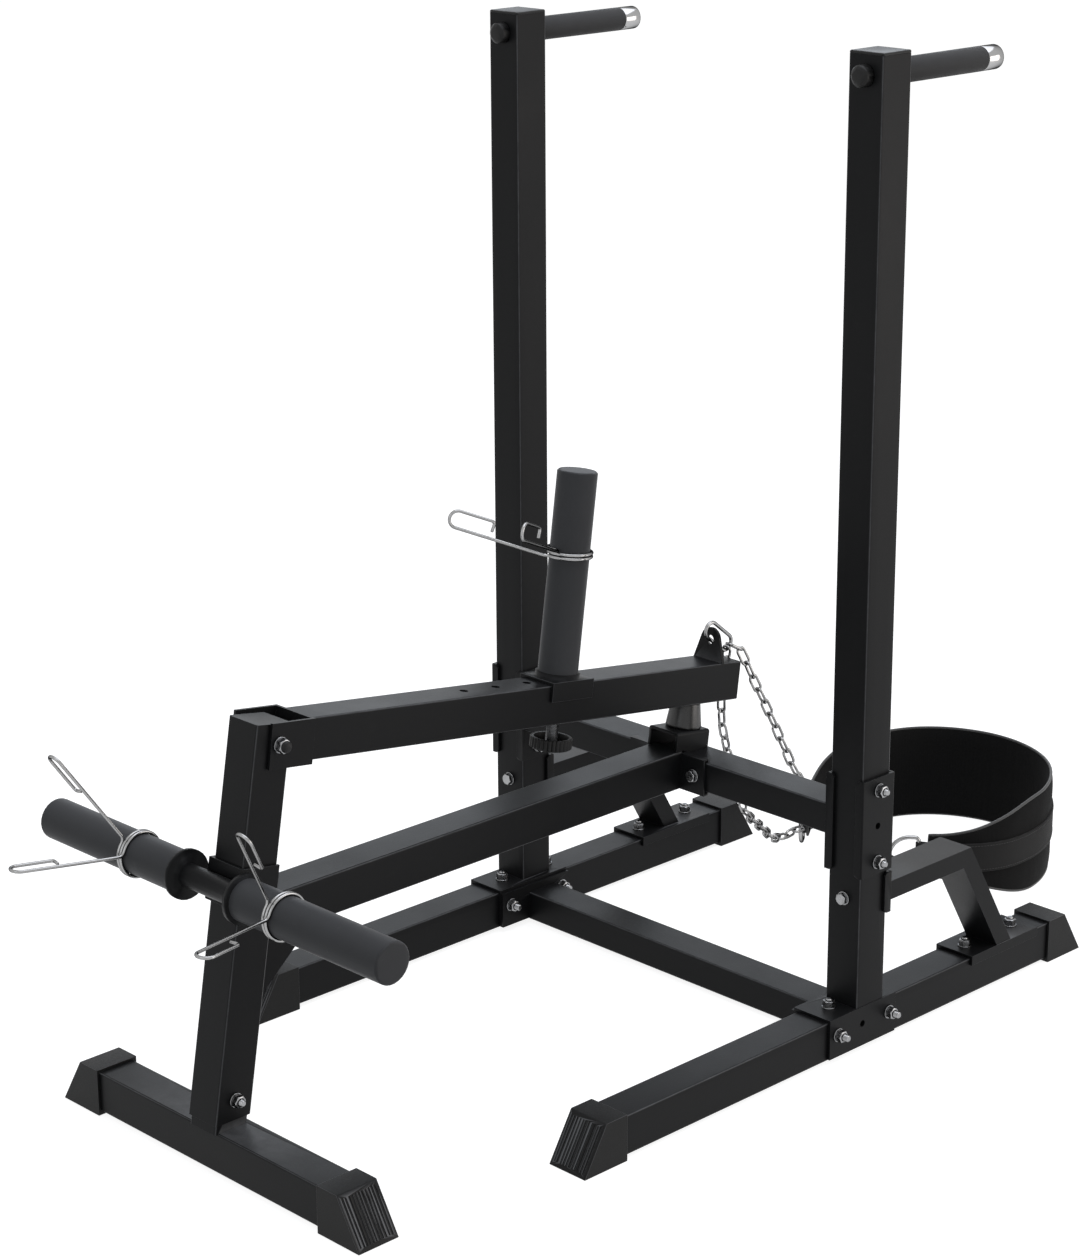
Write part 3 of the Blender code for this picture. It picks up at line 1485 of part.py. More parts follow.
def ring_path(bar, off, middle):
    """A ring with a straight bar in the strap and a round bow off the belt."""
    up = Vector((0, 0, 1))
    centre = bar + up * middle
    half = RING_HALF_HEIGHT
    corner = RING_CORNER
    path = [centre - up * (half - corner), centre + up * (half - corner)]
    for step in range(1, 4):
        turn = math.pi / 2 * step / 3
        path.append(
            centre
            + up * (half - corner + corner * math.sin(turn))
            + off * corner * (1 - math.cos(turn))
        )
    straight = RING_REACH - half
    for step in range(9):
        turn = math.pi / 2 - math.pi * step / 8
        path.append(centre + off * (straight + half * math.cos(turn)) + up * half * math.sin(turn))
    for step in range(3, 0, -1):
        turn = math.pi / 2 * step / 3
        path.append(
            centre
            - up * (half - corner + corner * math.sin(turn))
            + off * corner * (1 - math.cos(turn))
        )
    return path


# Bolts


def add_bolts(root):
    frame = post_frame()
    half = TUBE / 2
    turned = Matrix.Rotation(math.pi / 2, 4, "Y")
    place = frame @ Matrix.Translation((-half, 0, POST_BOLT_HEIGHT)) @ turned
    add_bolt("post_foot_bolt", TUBE, place, root)
    side = half + SEAT + PLATE
    place = frame @ Matrix.Translation((-side, 0, STORAGE_HEIGHT)) @ turned
    add_bolt("storage_bolt", 2 * side, place, root)
    inner = UPRIGHT_X - half - SEAT - PLATE
    outer = UPRIGHT_X + half + SEAT + PLATE
    web = half + SEAT + PLATE
    rail_low = RAIL_X - half - 2 * SEAT - 2 * PLATE
    rail_high = RAIL_X + half + SEAT + PLATE
    for hand, sign in MIRRORED:
        place = placed("+Y", sign * BEAM_BOLT_X, -web, CROSSBAR_Z)
        add_bolt(f"beam_bolt_{hand}", half + web, place, root)
        start = min(sign * inner, sign * outer)
        for level, z in zip(("lower", "upper"), crossbar_bolt_heights()):
            place = placed("+X", start, 0, z)
            add_bolt(f"crossbar_bolt_{level}_{hand}", outer - inner, place, root)
        place = placed("+Y", sign * UPRIGHT_X, -half, brace_bolt_height())
        add_bolt(f"brace_bolt_{hand}", half + web, place, root, BRACE_BOLT_TAIL)
        start = min(sign * rail_low, sign * rail_high)
        grip = rail_high - rail_low
        for level, y in zip(("front", "rear"), STUD_Y):
            place = placed("+X", start, y, STUD_Z)
            add_bolt(f"foot_stud_{level}_{hand}", grip, place, root, STUD_TAIL)


def centre_on_floor(root):
    """Moves everything so that the origin is under the middle of the footprint."""
    bpy.context.view_layer.update()
    low = Vector((math.inf,) * 3)
    high = -low
    for piece in bpy.context.scene.objects:
        if piece.type != "MESH":
            continue
        for vertex in piece.data.vertices:
            point = piece.matrix_world @ vertex.co
            low = Vector(map(min, low, point))
            high = Vector(map(max, high, point))
    root.location = (-(low.x + high.x) / 2, -(low.y + high.y) / 2, -low.z)
    print("size", [round(1000 * side, 1) for side in high - low])
    bpy.context.view_layer.update()
    for name in ("station_root", "lever_pivot", "knob_axis", "belt_axis"):
        place = bpy.data.objects[name].matrix_world.translation
        print(name, [round(part, 5) for part in place])


def main():
    for old in list(bpy.data.objects):
        bpy.data.objects.remove(old)
    root = empty("station_root", Matrix.Identity(4))
    lever = empty("lever_pivot", lever_frame(), root)
    eye = lever_frame() @ Vector((0, EYE_S, EYE_HEIGHT))
    belt_axis = empty("belt_axis", Matrix.Translation(eye), root)
    add_front_foot(root)
    add_rails(root)
    add_shoes(root)
    add_lower_cross_tube(root)
    for side, sign in MIRRORED:
        add_upright(side, sign, root)
        add_rear_brace(side, sign, root)
    add_upright_caps(root)
    add_mid_crossbar(root)
    add_outer_channels(root)
    add_front_post(root)
    add_storage_bar(root)
    add_centre_beam(root)
    add_bumper(root)
    add_handles(root)
    add_lever_arm(lever)
    add_weight_sleeve(lever)
    add_knob(lever)
    add_pivot_bolt(root)
    add_collars(root, lever)
    add_hook(belt_axis)
    add_chains(belt_axis)
    add_belt(belt_axis)
    add_bolts(root)
    centre_on_floor(root)


main()
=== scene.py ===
"""Looks, light and camera for the dip station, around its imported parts.

Plan sizes are laid out from the centre plane of the uprights, as the parts
are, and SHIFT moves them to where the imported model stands. Metres, +Z up.
"""

import json
import math
import random

import bmesh
import bpy
from mathutils import Matrix, Vector

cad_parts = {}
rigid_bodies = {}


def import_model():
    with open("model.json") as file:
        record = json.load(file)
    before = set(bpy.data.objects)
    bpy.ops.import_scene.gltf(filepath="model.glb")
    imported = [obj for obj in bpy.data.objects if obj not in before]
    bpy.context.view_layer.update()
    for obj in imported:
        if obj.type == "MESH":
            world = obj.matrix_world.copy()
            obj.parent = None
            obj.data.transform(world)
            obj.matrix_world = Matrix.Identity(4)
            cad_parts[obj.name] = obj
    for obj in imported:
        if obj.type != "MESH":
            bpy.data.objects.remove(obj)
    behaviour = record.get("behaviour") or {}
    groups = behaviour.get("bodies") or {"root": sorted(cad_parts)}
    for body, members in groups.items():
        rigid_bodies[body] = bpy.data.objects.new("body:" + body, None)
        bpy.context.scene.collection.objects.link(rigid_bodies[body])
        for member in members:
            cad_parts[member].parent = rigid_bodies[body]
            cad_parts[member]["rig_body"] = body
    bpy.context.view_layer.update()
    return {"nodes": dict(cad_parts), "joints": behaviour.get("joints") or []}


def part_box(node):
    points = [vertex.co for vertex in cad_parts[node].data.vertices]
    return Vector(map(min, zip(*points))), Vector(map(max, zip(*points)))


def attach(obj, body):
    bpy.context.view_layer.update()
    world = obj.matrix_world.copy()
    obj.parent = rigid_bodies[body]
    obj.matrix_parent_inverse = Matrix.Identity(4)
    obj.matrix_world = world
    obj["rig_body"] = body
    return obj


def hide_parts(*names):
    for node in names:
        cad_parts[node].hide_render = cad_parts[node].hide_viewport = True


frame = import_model()
NODES = frame["nodes"]
JOINTS = {joint["name"]: joint for joint in frame["joints"]}

# Sizes shared with the parts
TUBE = 0.0508
RAIL_BOTTOM = 0.0046
RAIL_X = 0.2945
SEAT = 0.0003
PIVOT = Vector((0, -0.690, 0.503))
SHIFT = Vector(JOINTS["lever_hinge"]["pos_m"]) - PIVOT
LEVER_SLOPE = math.radians(8.05)
LEVER = Matrix.Translation(PIVOT + SHIFT) @ Matrix.Rotation(-LEVER_SLOPE, 4, "X")
EYE = Vector(JOINTS["belt_hinge"]["pos_m"]) - SHIFT
SLEEVE_S = 0.4645
SLEEVE_RADIUS = 0.025
SLEEVE_BOTTOM = 0.0362
PLATE = 0.004
POST_FOOT = Vector((0, -0.773, 0.066))
POST_LEAN = math.radians(9.9)
STORAGE_FRONT = 0.0412
STORAGE_S = 0.2765
STORAGE_SLEEVE_X = 0.0555

EAR_PLAY = 0.0007
EAR_GAP_LEFT = 0.010
PIVOT_RADIUS = 0.005
PIVOT_HEAD_RADIUS = 0.0090
PIVOT_HEAD_HEIGHT = 0.0060
PIVOT_WASHER_RADIUS = 0.0096
PIVOT_NUT_HALF_FLAT = 0.0078
PIVOT_NUT_HEIGHT = 0.008
PIVOT_SPACER_RADIUS = 0.011
BUMPER_Y = 0.0092
BUMPER_HEIGHT = 0.0342
BUMPER_RADIUS = 0.0232
BUMPER_TOP_RADIUS = 0.0188

HEAD_HEIGHT = 0.0055
NUT_HEIGHT = 0.008
WASHER_HEIGHT = 0.0016
WASHER_RADIUS = 0.0088
BOLT_RADIUS = 0.004
HALF_FLAT = 0.0069
CHAMFER_DEPTH = 0.0011
CHAMFER_START = 0.95
CHAMFER_SLOPE = 1.7
LOCK_RING_RADIUS = 0.0054
BOLT_TAIL = 0.005
THREAD_PITCH = 0.00125
TAILS = {"foot_stud": 0.008, "brace_bolt": 0.002}
SADDLE_BOLT_Y = (-0.045, 0.0385, 0.2247, 0.3203)

COAT_ROUNDING = 0.0007
CAP_ROUNDING = 0.0005
LONG_EDGE = 0.010
MARKED_EDGE = 0.020
BENT_FACE_AREA = 8e-4

GRIP_RADIUS = 0.015
HANDLE_RADIUS = 0.0125
CHROME_RADIUS = 0.0149
KNOB_GAP = 0.022
KNOB_HEIGHT = 0.015
KNOB_RADIUS = 0.0265
KNOB_WALL = 0.0030
KNOB_RIBS = 30
KNOB_GROOVE = 0.0018
KNOB_SHAFT_RADIUS = 0.0078

WIRE_RADIUS = 0.0020
COIL_PITCH = 0.0047
COIL_TURNS = 2
COIL_POINTS = 40
ARM_SPREAD = math.radians(16.0)
ARM_SPLAY = math.radians(19.5)
ARM_BEND = 0.008
ARM_LENGTH = 0.116
ARM_TILT = math.radians(14.0)
LOOP_WIDTH = 0.021
LOOP_LENGTH = 0.045
LOOP_STUB = 0.004
STORAGE_COLLAR_X = {"left": -0.140, "right": 0.122}
STORAGE_COLLAR_TURN = math.radians(31.0)
SLEEVE_COLLAR_HEIGHT = 0.155
SLEEVE_COLLAR_TURN = math.radians(-94.0)

HOOK_RADIUS = 0.0025
HOOK_HALF_LENGTH = 0.028
HOOK_HALF_WIDTH = 0.0105
HOOK_SLOPE = math.radians(39.0)
HOOK_BACK = 0.0104
HOOK_LOW = 0.0094
LINK_WIRE = 0.0018
LINK_PITCH = 0.0205
LINK_HALF_WIDTH = 0.0054
RIGHT_CHAIN_TURN = math.radians(8.0)
RIGHT_CHAIN_LEAN = 0.25
RIGHT_CHAIN_PATH = (
    (0.016, 0.1146, 0.3890),
    (0.0242, 0.1422, 0.3305),
    (0.031, 0.1658, 0.2780),
    (0.0367, 0.1845, 0.2386),
    (0.046, 0.230, 0.165),
    (0.054, 0.280, 0.118),
)
LEFT_CHAIN_TURN = math.radians(-33.0)
LEFT_CHAIN_LEAN = -0.45
LEFT_CHAIN_PATH = (
    (-0.017, 0.0930, 0.3880),
    (-0.022, 0.0970, 0.3600),
    (-0.0215, 0.0985, 0.3180),
    (-0.0240, 0.112, 0.2780),
    (-0.034, 0.142, 0.2180),
    (-0.043, 0.171, 0.1690),
    (-0.065, 0.227, 0.1260),
    (-0.087, 0.284, 0.0860),
)

BELT_PLAN = (
    (-0.126, 0.398),
    (-0.152, 0.436),
    (-0.174, 0.490),
    (-0.180, 0.545),
    (-0.174, 0.608),
    (-0.153, 0.660),
    (-0.115, 0.698),
    (-0.064, 0.720),
    (-0.011, 0.723),
    (0.042, 0.708),
    (0.086, 0.678),
    (0.120, 0.636),
    (0.142, 0.590),
    (0.152, 0.540),
    (0.153, 0.490),
    (0.140, 0.447),
    (0.118, 0.418),
    (0.094, 0.398),
)
BELT_THICK = 0.007
BELT_HEIGHT = 0.140
BELT_END_HEIGHT = 0.065
BELT_END_LIFT = 0.009
BELT_TAPER = 0.190
PAD_CROWN = 0.0006
PAD_EDGE = 0.0017
PIPING_RADIUS = 0.0021
STRAP_WIDTH = 0.042
STRAP_THICK = 0.0018
STRAP_REACH = 0.014
STRAP_SINK = 0.0008
STITCH_PITCH = 0.0046
STITCH_SHARE = 0.68
STITCH_INSET = 0.0035
STITCH_RADIUS = 0.00042
RING_WIRE = 0.0028
RING_HALF_HEIGHT = 0.028
RING_REACH = 0.040
RING_CORNER = 0.006


# Materials


class Nodes:
    """Short calls for building a material's node tree."""

    def __init__(self, name):
        self.material = bpy.data.materials.new(name)
        self.material.use_nodes = True
        self.tree = self.material.node_tree
        self.shader = self.tree.nodes["Principled BSDF"]
        self.place = self.tree.nodes.new("ShaderNodeTexCoord").outputs["Object"]

    def put(self, socket, value):
        """Links an output to the socket, or sets the socket's own value."""
        if hasattr(value, "links"):
            self.tree.links.new(value, socket)
        else:
            socket.default_value = value

    def add(self, kind, inputs, **settings):
        node = self.tree.nodes.new("ShaderNode" + kind)
        for key, value in settings.items():
            setattr(node, key, value)
        for key, value in inputs.items():
            self.put(node.inputs[key], value)
        return node.outputs

    def noise(self, scale, detail=3.0, rough=0.5):
        inputs = {"Vector": self.place, "Scale": scale, "Detail": detail, "Roughness": rough}
        return self.add("TexNoise", inputs)["Fac"]

    def cells(self, scale):
        return self.add("TexVoronoi", {"Vector": self.place, "Scale": scale})["Distance"]

    def bands(self, way, scale, distortion, detail):
        inputs = {"Vector": self.place, "Scale": scale, "Distortion": distortion}
        inputs["Detail"] = detail
        return self.add("TexWave", inputs, wave_type="BANDS", bands_direction=way)["Fac"]

    def math(self, operation, a, b):
        return self.add("Math", {0: a, 1: b}, operation=operation)[0]

    def remap(self, value, low, high, to_low, to_high):
        inputs = {"Value": value, "From Min": low, "From Max": high}
        inputs.update({"To Min": to_low, "To Max": to_high})
        return self.add("MapRange", inputs)[0]

    def mix(self, share, a, b):
        node = self.tree.nodes.new("ShaderNodeMix")
        node.data_type = "RGBA"
        for key, value in (("Factor_Float", share), ("A_Color", a), ("B_Color", b)):
            self.put(next(s for s in node.inputs if s.identifier == key), value)
        return next(s for s in node.outputs if s.identifier == "Result_Color")

    def edge_highlight_paint(self, most):
        """How near a rounded edge's middle line is, from 0 to the given most: the mask of the
        painted edge highlight.
        """
        edge = self.add("Attribute", {}, attribute_name="edge_highlight_paint")["Fac"]
        return self.math("MULTIPLY", self.math("POWER", edge, 2.0), most)

    def bump(self, height, distance, strength):
        inputs = {"Height": height, "Distance": distance, "Strength": strength}
        return self.add("Bump", inputs)["Normal"]

    def finish(self, color, roughness, normal=None, **others):
        """Fills the shader's inputs. The others are named with _ for a space."""
        inputs = {"Base Color": color, "Roughness": roughness}
        if normal is not None:
            inputs["Normal"] = normal
        inputs.update({key.replace("_", " "): value for key, value in others.items()})
        for key, value in inputs.items():
            self.put(self.shader.inputs[key], value)
        return self.material


def grey(value, blue=0.0):
    """A grey whose blue is higher by the given share."""
    return (value, value * (1 + blue / 3), value * (1 + blue), 1.0)


def powder_coat(name, value, low, high, specular, blue):
    """Satin black coat: fine orange peel, soft cloudiness and light scuffs."""
    n = Nodes(name)
    clouds = n.noise(7.0, 4.0, 0.6)
    grain = n.noise(900.0, 2.0, 0.6)
    peel = n.noise(420.0, 2.0, 0.5)
    scuff = n.noise(34.0, 6.0, 0.75)
    worn = n.remap(scuff, 0.60, 0.76, 0.0, 1.0)
    color = n.mix(clouds, grey(value * 0.85, blue), grey(value * 1.15, blue))
    color = n.mix(n.math("MULTIPLY", worn, 0.30), color, grey(value * 2))
    rough = n.remap(clouds, 0.3, 0.7, low, high)
    rough = n.math("ADD", rough, n.remap(grain, 0.3, 0.7, -0.03, 0.03))
    # Painted highlight: a light grey line mixed in along the middle of each rounded edge, varied by
    # the scuff noise.
    edge = n.math("MULTIPLY", n.edge_highlight_paint(1.0), n.remap(scuff, 0.3, 0.7, 0.45, 0.9))
    color = n.mix(edge, color, grey(0.15, 0.06))
    height = n.math("ADD", peel, n.math("MULTIPLY", grain, 0.5))
    return n.finish(color, rough, n.bump(height, 0.00012, 0.5), Specular_IOR_Level=specular)


def rubber(name, value, texture, low, high, specular):
    """Moulded black rubber with a fine matte grain."""
    n = Nodes(name)
    grain = n.noise(texture, 3.0, 0.6)
    dust = n.noise(16.0, 5.0, 0.7)
    color = n.mix(n.remap(dust, 0.45, 0.8, 0.0, 0.5), grey(value), grey(value * 2.0))
    # Painted highlight: a light grey line mixed in along the middle of each rounded edge.
    color = n.mix(n.edge_highlight_paint(0.8), color, grey(0.17, 0.05))
    rough = n.remap(grain, 0.3, 0.7, low, high)
    return n.finish(color, rough, n.bump(grain, 0.00015, 0.4), Specular_IOR_Level=specular)


def plastic():
    """Moulded black plastic with a leather grain."""
    n = Nodes("moulded_plastic")
    clouds = n.noise(20.0)
    rough = n.remap(clouds, 0.3, 0.7, 0.42, 0.54)
    color = n.mix(clouds, grey(0.008), grey(0.012))
    return n.finish(color, rough, n.bump(n.cells(700.0), 0.00015, 0.4), Specular_IOR_Level=0.2)


def plated_steel(name, value, low, high, streak, blue):
    """Bright plated steel: faint mottling, fine lines, and a dark tint at its sides."""
    n = Nodes(name)
    mottle = n.noise(160.0, 4.0, 0.65)
    fine = n.noise(1500.0, 2.0, 0.5)
    stain = n.remap(n.noise(45.0, 5.0, 0.7), 0.5, 0.75, 0.0, streak)
    color = n.mix(mottle, grey(value * 0.88, blue), grey(value, blue))
    color = n.mix(stain, color, (value * 0.42, value * 0.40, value * 0.38, 1.0))
    rough = n.remap(mottle, 0.3, 0.7, low, high)
    normal = n.bump(fine, 0.00004, 0.35)
    return n.finish(color, rough, normal, Metallic=1.0, Specular_Tint=grey(0.02))


def belt_cloth():
    """Black belt cloth: a fine knit over foam, dull at the worn places."""
    n = Nodes("belt_cloth")
    across, along, up = (n.bands(way, 150.0, 0.6, 1.0) for way in "XYZ")
    knit = n.math("MULTIPLY", n.math("ADD", across, along), up)
    fuzz = n.noise(1100.0, 3.0, 0.6)
    wear = n.noise(11.0, 5.0, 0.65)
    color = n.mix(n.remap(wear, 0.45, 0.75, 0.0, 0.6), grey(0.0085), grey(0.014))
    color = n.mix(n.math("MULTIPLY", knit, 0.25), color, grey(0.014))
    rough = n.remap(wear, 0.3, 0.7, 0.72, 0.88)
    height = n.math("ADD", n.math("MULTIPLY", knit, 0.6), n.math("MULTIPLY", fuzz, 0.5))
    normal = n.bump(height, 0.0003, 0.6)
    return n.finish(color, rough, normal, Specular_IOR_Level=0.06, Sheen_Weight=0.01)


def webbing():
    """Dark grey webbing: ribs across it and a twill grain."""
    n = Nodes("webbing")
    ribs = n.bands("Z", 210.0, 0.3, 1.0)
    twill = n.bands("DIAGONAL", 260.0, 0.5, 2.0)
    fuzz = n.noise(1300.0, 2.0, 0.6)
    height = n.math("ADD", n.math("MULTIPLY", ribs, 0.6), n.math("MULTIPLY", twill, 0.4))
    color = n.mix(height, grey(0.017), grey(0.032))
    color = n.mix(n.remap(fuzz, 0.5, 0.8, 0.0, 0.5), color, grey(0.042))
    rough = n.remap(fuzz, 0.3, 0.7, 0.70, 0.86)
    normal = n.bump(height, 0.00035, 0.7)
    return n.finish(color, rough, normal, Specular_IOR_Level=0.10, Sheen_Weight=0.02)


def piping_cloth():
    """Glossier binding tape that catches the light along the belt's edges."""
    n = Nodes("belt_binding")
    ribs = n.noise(900.0, 2.0, 0.5)
    patch = n.noise(30.0, 3.0, 0.6)
    color = n.mix(patch, grey(0.020), grey(0.034))
    rough = n.remap(ribs, 0.3, 0.7, 0.42, 0.58)
    return n.finish(color, rough, n.bump(ribs, 0.0002, 0.5), Specular_IOR_Level=0.5)


def thread():
    """Dark twisted sewing thread."""
    n = Nodes("stitch_thread")
    twist = n.noise(2000.0, 1.0, 0.5)
    color = n.mix(twist, grey(0.020), grey(0.045))
    return n.finish(color, n.remap(twist, 0.3, 0.7, 0.6, 0.8), n.bump(twist, 0.0001, 0.5))


def foam():
    """Soft black grip with open pores."""
    n = Nodes("grip_foam")
    patch = n.noise(26.0, 4.0, 0.6)
    color = n.mix(patch, grey(0.048, 0.03), grey(0.062, 0.03))
    rough = n.remap(patch, 0.3, 0.7, 0.50, 0.62)
    return n.finish(color, rough, n.bump(n.cells(900.0), 0.0002, 0.6), Specular_IOR_Level=0.05)


COAT = powder_coat("powder_coat", 0.0085, 0.36, 0.44, 0.09, 0.10)
# A lighter copy of the same black coat for the sleeves: a painted highlight for the light their
# round sides catch.
LIT_SLEEVE_COAT = powder_coat("sleeve_coat_painted_light", 0.062, 0.42, 0.50, 0.06, 0.08)
RUBBER = rubber("shoe_rubber", 0.008, 650.0, 0.45, 0.60, 0.16)
BUMPER = rubber("bumper_rubber", 0.012, 500.0, 0.26, 0.36, 0.5)
PLASTIC = plastic()
ZINC = plated_steel("zinc_plate", 0.34, 0.20, 0.34, 0.45, 0.03)
STEEL = plated_steel("bright_wire", 0.34, 0.13, 0.24, 0.10, 0.0)
CHROME = plated_steel("chrome_plate", 0.40, 0.07, 0.14, 0.0, 0.0)
CLOTH = belt_cloth()
WEBBING = webbing()
PIPING = piping_cloth()
THREAD = thread()
FOAM = foam()


# Meshes


def piece(name, points, faces, material, body, replaced=(), smooth=35.0):
    """A closed mesh that rides on a body and takes the place of the replaced nodes."""
    mesh = bpy.data.meshes.new(name)
    mesh.from_pydata([tuple(point) for point in points], [], faces)
    work = bmesh.new()
    work.from_mesh(mesh)
    bmesh.ops.recalc_face_normals(work, faces=work.faces)
    work.to_mesh(mesh)
    work.free()
    return place_mesh(name, mesh, material, body, replaced, smooth)


def place_mesh(name, mesh, material, body, replaced, smooth):
    mesh.polygons.foreach_set("use_smooth", [True] * len(mesh.polygons))
    mesh.set_sharp_from_angle(angle=math.radians(smooth))
    mesh.materials.append(material)
    made = bpy.data.objects.new(name, mesh)
    bpy.context.scene.collection.objects.link(made)
    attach(made, body)
    if replaced:
        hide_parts(*replaced)
    return made


def turned_part(name, sections, sides, matrix, material, body, replaced=(), smooth=35.0):
    """A piece that is round about its own axis."""
    points, faces = rings(sections, sides)
    points = [matrix @ Vector(point) for point in points]
    return piece(name, points, faces, material, body, replaced, smooth)


class Shape:
    """Points and faces gathered from several closed pieces."""

    def __init__(self):
        self.points = []
        self.faces = []

    def add(self, points, faces, matrix=None):
        base = len(self.points)
        if matrix is not None:
            points = [matrix @ Vector(point) for point in points]
        self.points += [Vector(point) for point in points]
        self.faces += [tuple(base + index for index in face) for face in faces]


def tube_faces(rows, size):
    """The faces of a closed body whose points are rows of the given size, one after another."""
    faces = []
    for row in range(rows - 1):
        for side in range(size):
            a = row * size + side
            b = row * size + (side + 1) % size
            faces.append((a, b, b + size, a + size))
    faces.append(tuple(reversed(range(size))))
    faces.append(tuple(range((rows - 1) * size, rows * size)))
    return faces


def rings(sections, sides, reach=None):
    """Rings (height, radius) round Z joined into one closed body."""
    points = []
    for height, radius in sections:
        for side in range(sides):
            angle = 2 * math.pi * side / sides
            out = radius if reach is None else reach(radius, angle, height)
            points.append((out * math.cos(angle), out * math.sin(angle), height))
    return points, tube_faces(len(sections), sides)


def sweep(path, radius, sides, closed=False):
    """A round wire along a path. Open ends are slightly rounded."""
    last = len(path) - 1
    normal = None
    frames = []
    for i, here in enumerate(path):
        before = path[i - 1] if closed or i else here
        after = path[(i + 1) % len(path)] if closed or i < last else here
        along = (after - before).normalized()
        if normal is None:
            guide = Vector((1, 0, 0)) if abs(along.x) < 0.7 else Vector((0, 0, 1))
            normal = along.cross(guide).normalized()
        normal = (normal - along * normal.dot(along)).normalized()
        frames.append((here, along, normal, radius))
    if not closed:
        start, end = frames[0], frames[-1]
        cap = radius * 0.35
        blunt = radius * 0.72
        frames[0] = (start[0] + start[1] * cap, *start[1:])
        frames[-1] = (end[0] - end[1] * cap, *end[1:])
        frames = [(*start[:3], blunt), *frames, (*end[:3], blunt)]
    points = []
    for here, along, normal, reach in frames:
        side_way = along.cross(normal)
        for side in range(sides):
            angle = 2 * math.pi * side / sides
            offset = normal * math.cos(angle) + side_way * math.sin(angle)
            points.append(here + reach * offset)
    if not closed:
        return points, tube_faces(len(frames), sides)
    first = points[0] - path[0]
    ends = [point - path[-1] for point in points[-sides:]]
    turn = min(range(sides), key=lambda k: (ends[k] - first).length)
    faces = []
    for i in range(len(path)):
        low = i * sides
        high = (i + 1) % len(path) * sides
        shift = turn if i == last else 0
        for side in range(sides):
            a = low + (side + shift) % sides
            b = low + (side + 1 + shift) % sides
            faces.append((a, b, high + (side + 1) % sides, high + side))
    return points, faces


def smooth_path(controls, step, odd=False):
    """Points about one step apart on a smooth curve through the controls."""
    ends = [Vector(point) for point in controls]
    ends = [2 * ends[0] - ends[1], *ends, 2 * ends[-1] - ends[-2]]
    dense = []
    for i in range(1, len(ends) - 2):
        before, start, stop, after = ends[i - 1 : i + 3]
        for fraction in (k / 16 for k in range(16)):
            square = fraction * fraction
            cube = square * fraction
            dense.append(
                0.5
                * (
                    2 * start
                    + (stop - before) * fraction
                    + (2 * before - 5 * start + 4 * stop - after) * square
                    + (3 * start - before - 3 * stop + after) * cube
                )
            )
    dense.append(ends[-2])
    lengths = [0.0]
    for a, b in zip(dense, dense[1:]):
        lengths.append(lengths[-1] + (b - a).length)
    count = max(1, round(lengths[-1] / step))
    if odd:
        count = 2 * round((lengths[-1] / step - 1) / 2) + 1
    result = []
    at = 0
    for k in range(count + 1):
        target = lengths[-1] * k / count
        while at < len(dense) - 2 and lengths[at + 1] < target:
            at += 1
        part = (target - lengths[at]) / (lengths[at + 1] - lengths[at])
        result.append(dense[at].lerp(dense[at + 1], part))
    return result


# Coated, rubber and plastic parts keep their CAD shape, with softened edges


def softened(name, node_name, material, body, width, smooth, bend=0.0):
    """The CAD node's own surface with its plate bends and long edges rounded."""
    work = bmesh.new()
    work.from_mesh(NODES[node_name].data)
    bmesh.ops.remove_doubles(work, verts=work.verts, dist=2e-5)
    bmesh.ops.dissolve_degenerate(work, edges=work.edges, dist=1e-5)
    bmesh.ops.dissolve_limit(
        work, angle_limit=math.radians(1.0), verts=work.verts, edges=work.edges
    )
    if bend:
        round_edges(work, bend, 4, between_large_faces)
    round_edges(work, width, 2, lambda edge: edge.calc_length() > LONG_EDGE)
    mark_edges(work)
    corners = [face for face in work.faces if len(face.verts) > 4]
    bmesh.ops.triangulate(work, faces=corners, quad_method="BEAUTY", ngon_method="BEAUTY")
    mesh = bpy.data.meshes.new(name)
    work.to_mesh(mesh)
    work.free()
    made = place_mesh(name, mesh, material, body, (node_name,), smooth)
    weighted = made.modifiers.new("flat_faces", "WEIGHTED_NORMAL")
    weighted.keep_sharp = True
    return made


def between_large_faces(edge):
    return min(face.calc_area() for face in edge.link_faces) > BENT_FACE_AREA


def mark_edges(work):
    """Marks the middle line of each rounded edge, where the coat gets a painted highlight line."""
    layer = work.loops.layers.float.new("edge_highlight_paint")
    for edge in work.edges:
        if not edge.is_manifold or edge.calc_length() < MARKED_EDGE:
            continue
        if math.radians(33) < edge.calc_face_angle(0.0) < math.radians(57):
            for loop in edge.link_loops:
                loop[layer] = 1.0
                loop.link_loop_next[layer] = 1.0


def round_edges(work, width, segments, chosen):
    """Rounds the square edges that the given test picks."""
    square = [
        edge
        for edge in work.edges
        if edge.is_manifold and edge.calc_face_angle(0.0) > math.radians(60) and chosen(edge)
    ]
    bmesh.ops.bevel(
        work,
        geom=square,
        offset=width,
        segments=segments,
        profile=0.5,
        affect="EDGES",
        clamp_overlap=True,
    )


def body_of(node_name):
    return NODES[node_name]["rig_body"]


COATED = (
    "front_foot",
    "base_rail_left",
    "base_rail_right",
    "lower_cross_tube",
    "upright_left",
    "upright_right",
    "mid_crossbar",
    "outer_channel_left",
    "outer_channel_right",
    "rear_brace_left",
    "rear_brace_right",
    "front_post",
    "storage_bar",
    "centre_beam",
    "bumper_bracket",
    "lever_arm",
    "weight_sleeve",
)


def sleeve_faces(made, centre, axis, from_centre):
    """Gives the faces past a distance along an axis a lighter copy of the coat on the sleeves, a
    painted highlight.
    """
    made.data.materials.append(LIT_SLEEVE_COAT)
    for face in made.data.polygons:
        if abs((face.center - centre).dot(axis)) > from_centre:
            face.material_index = 1


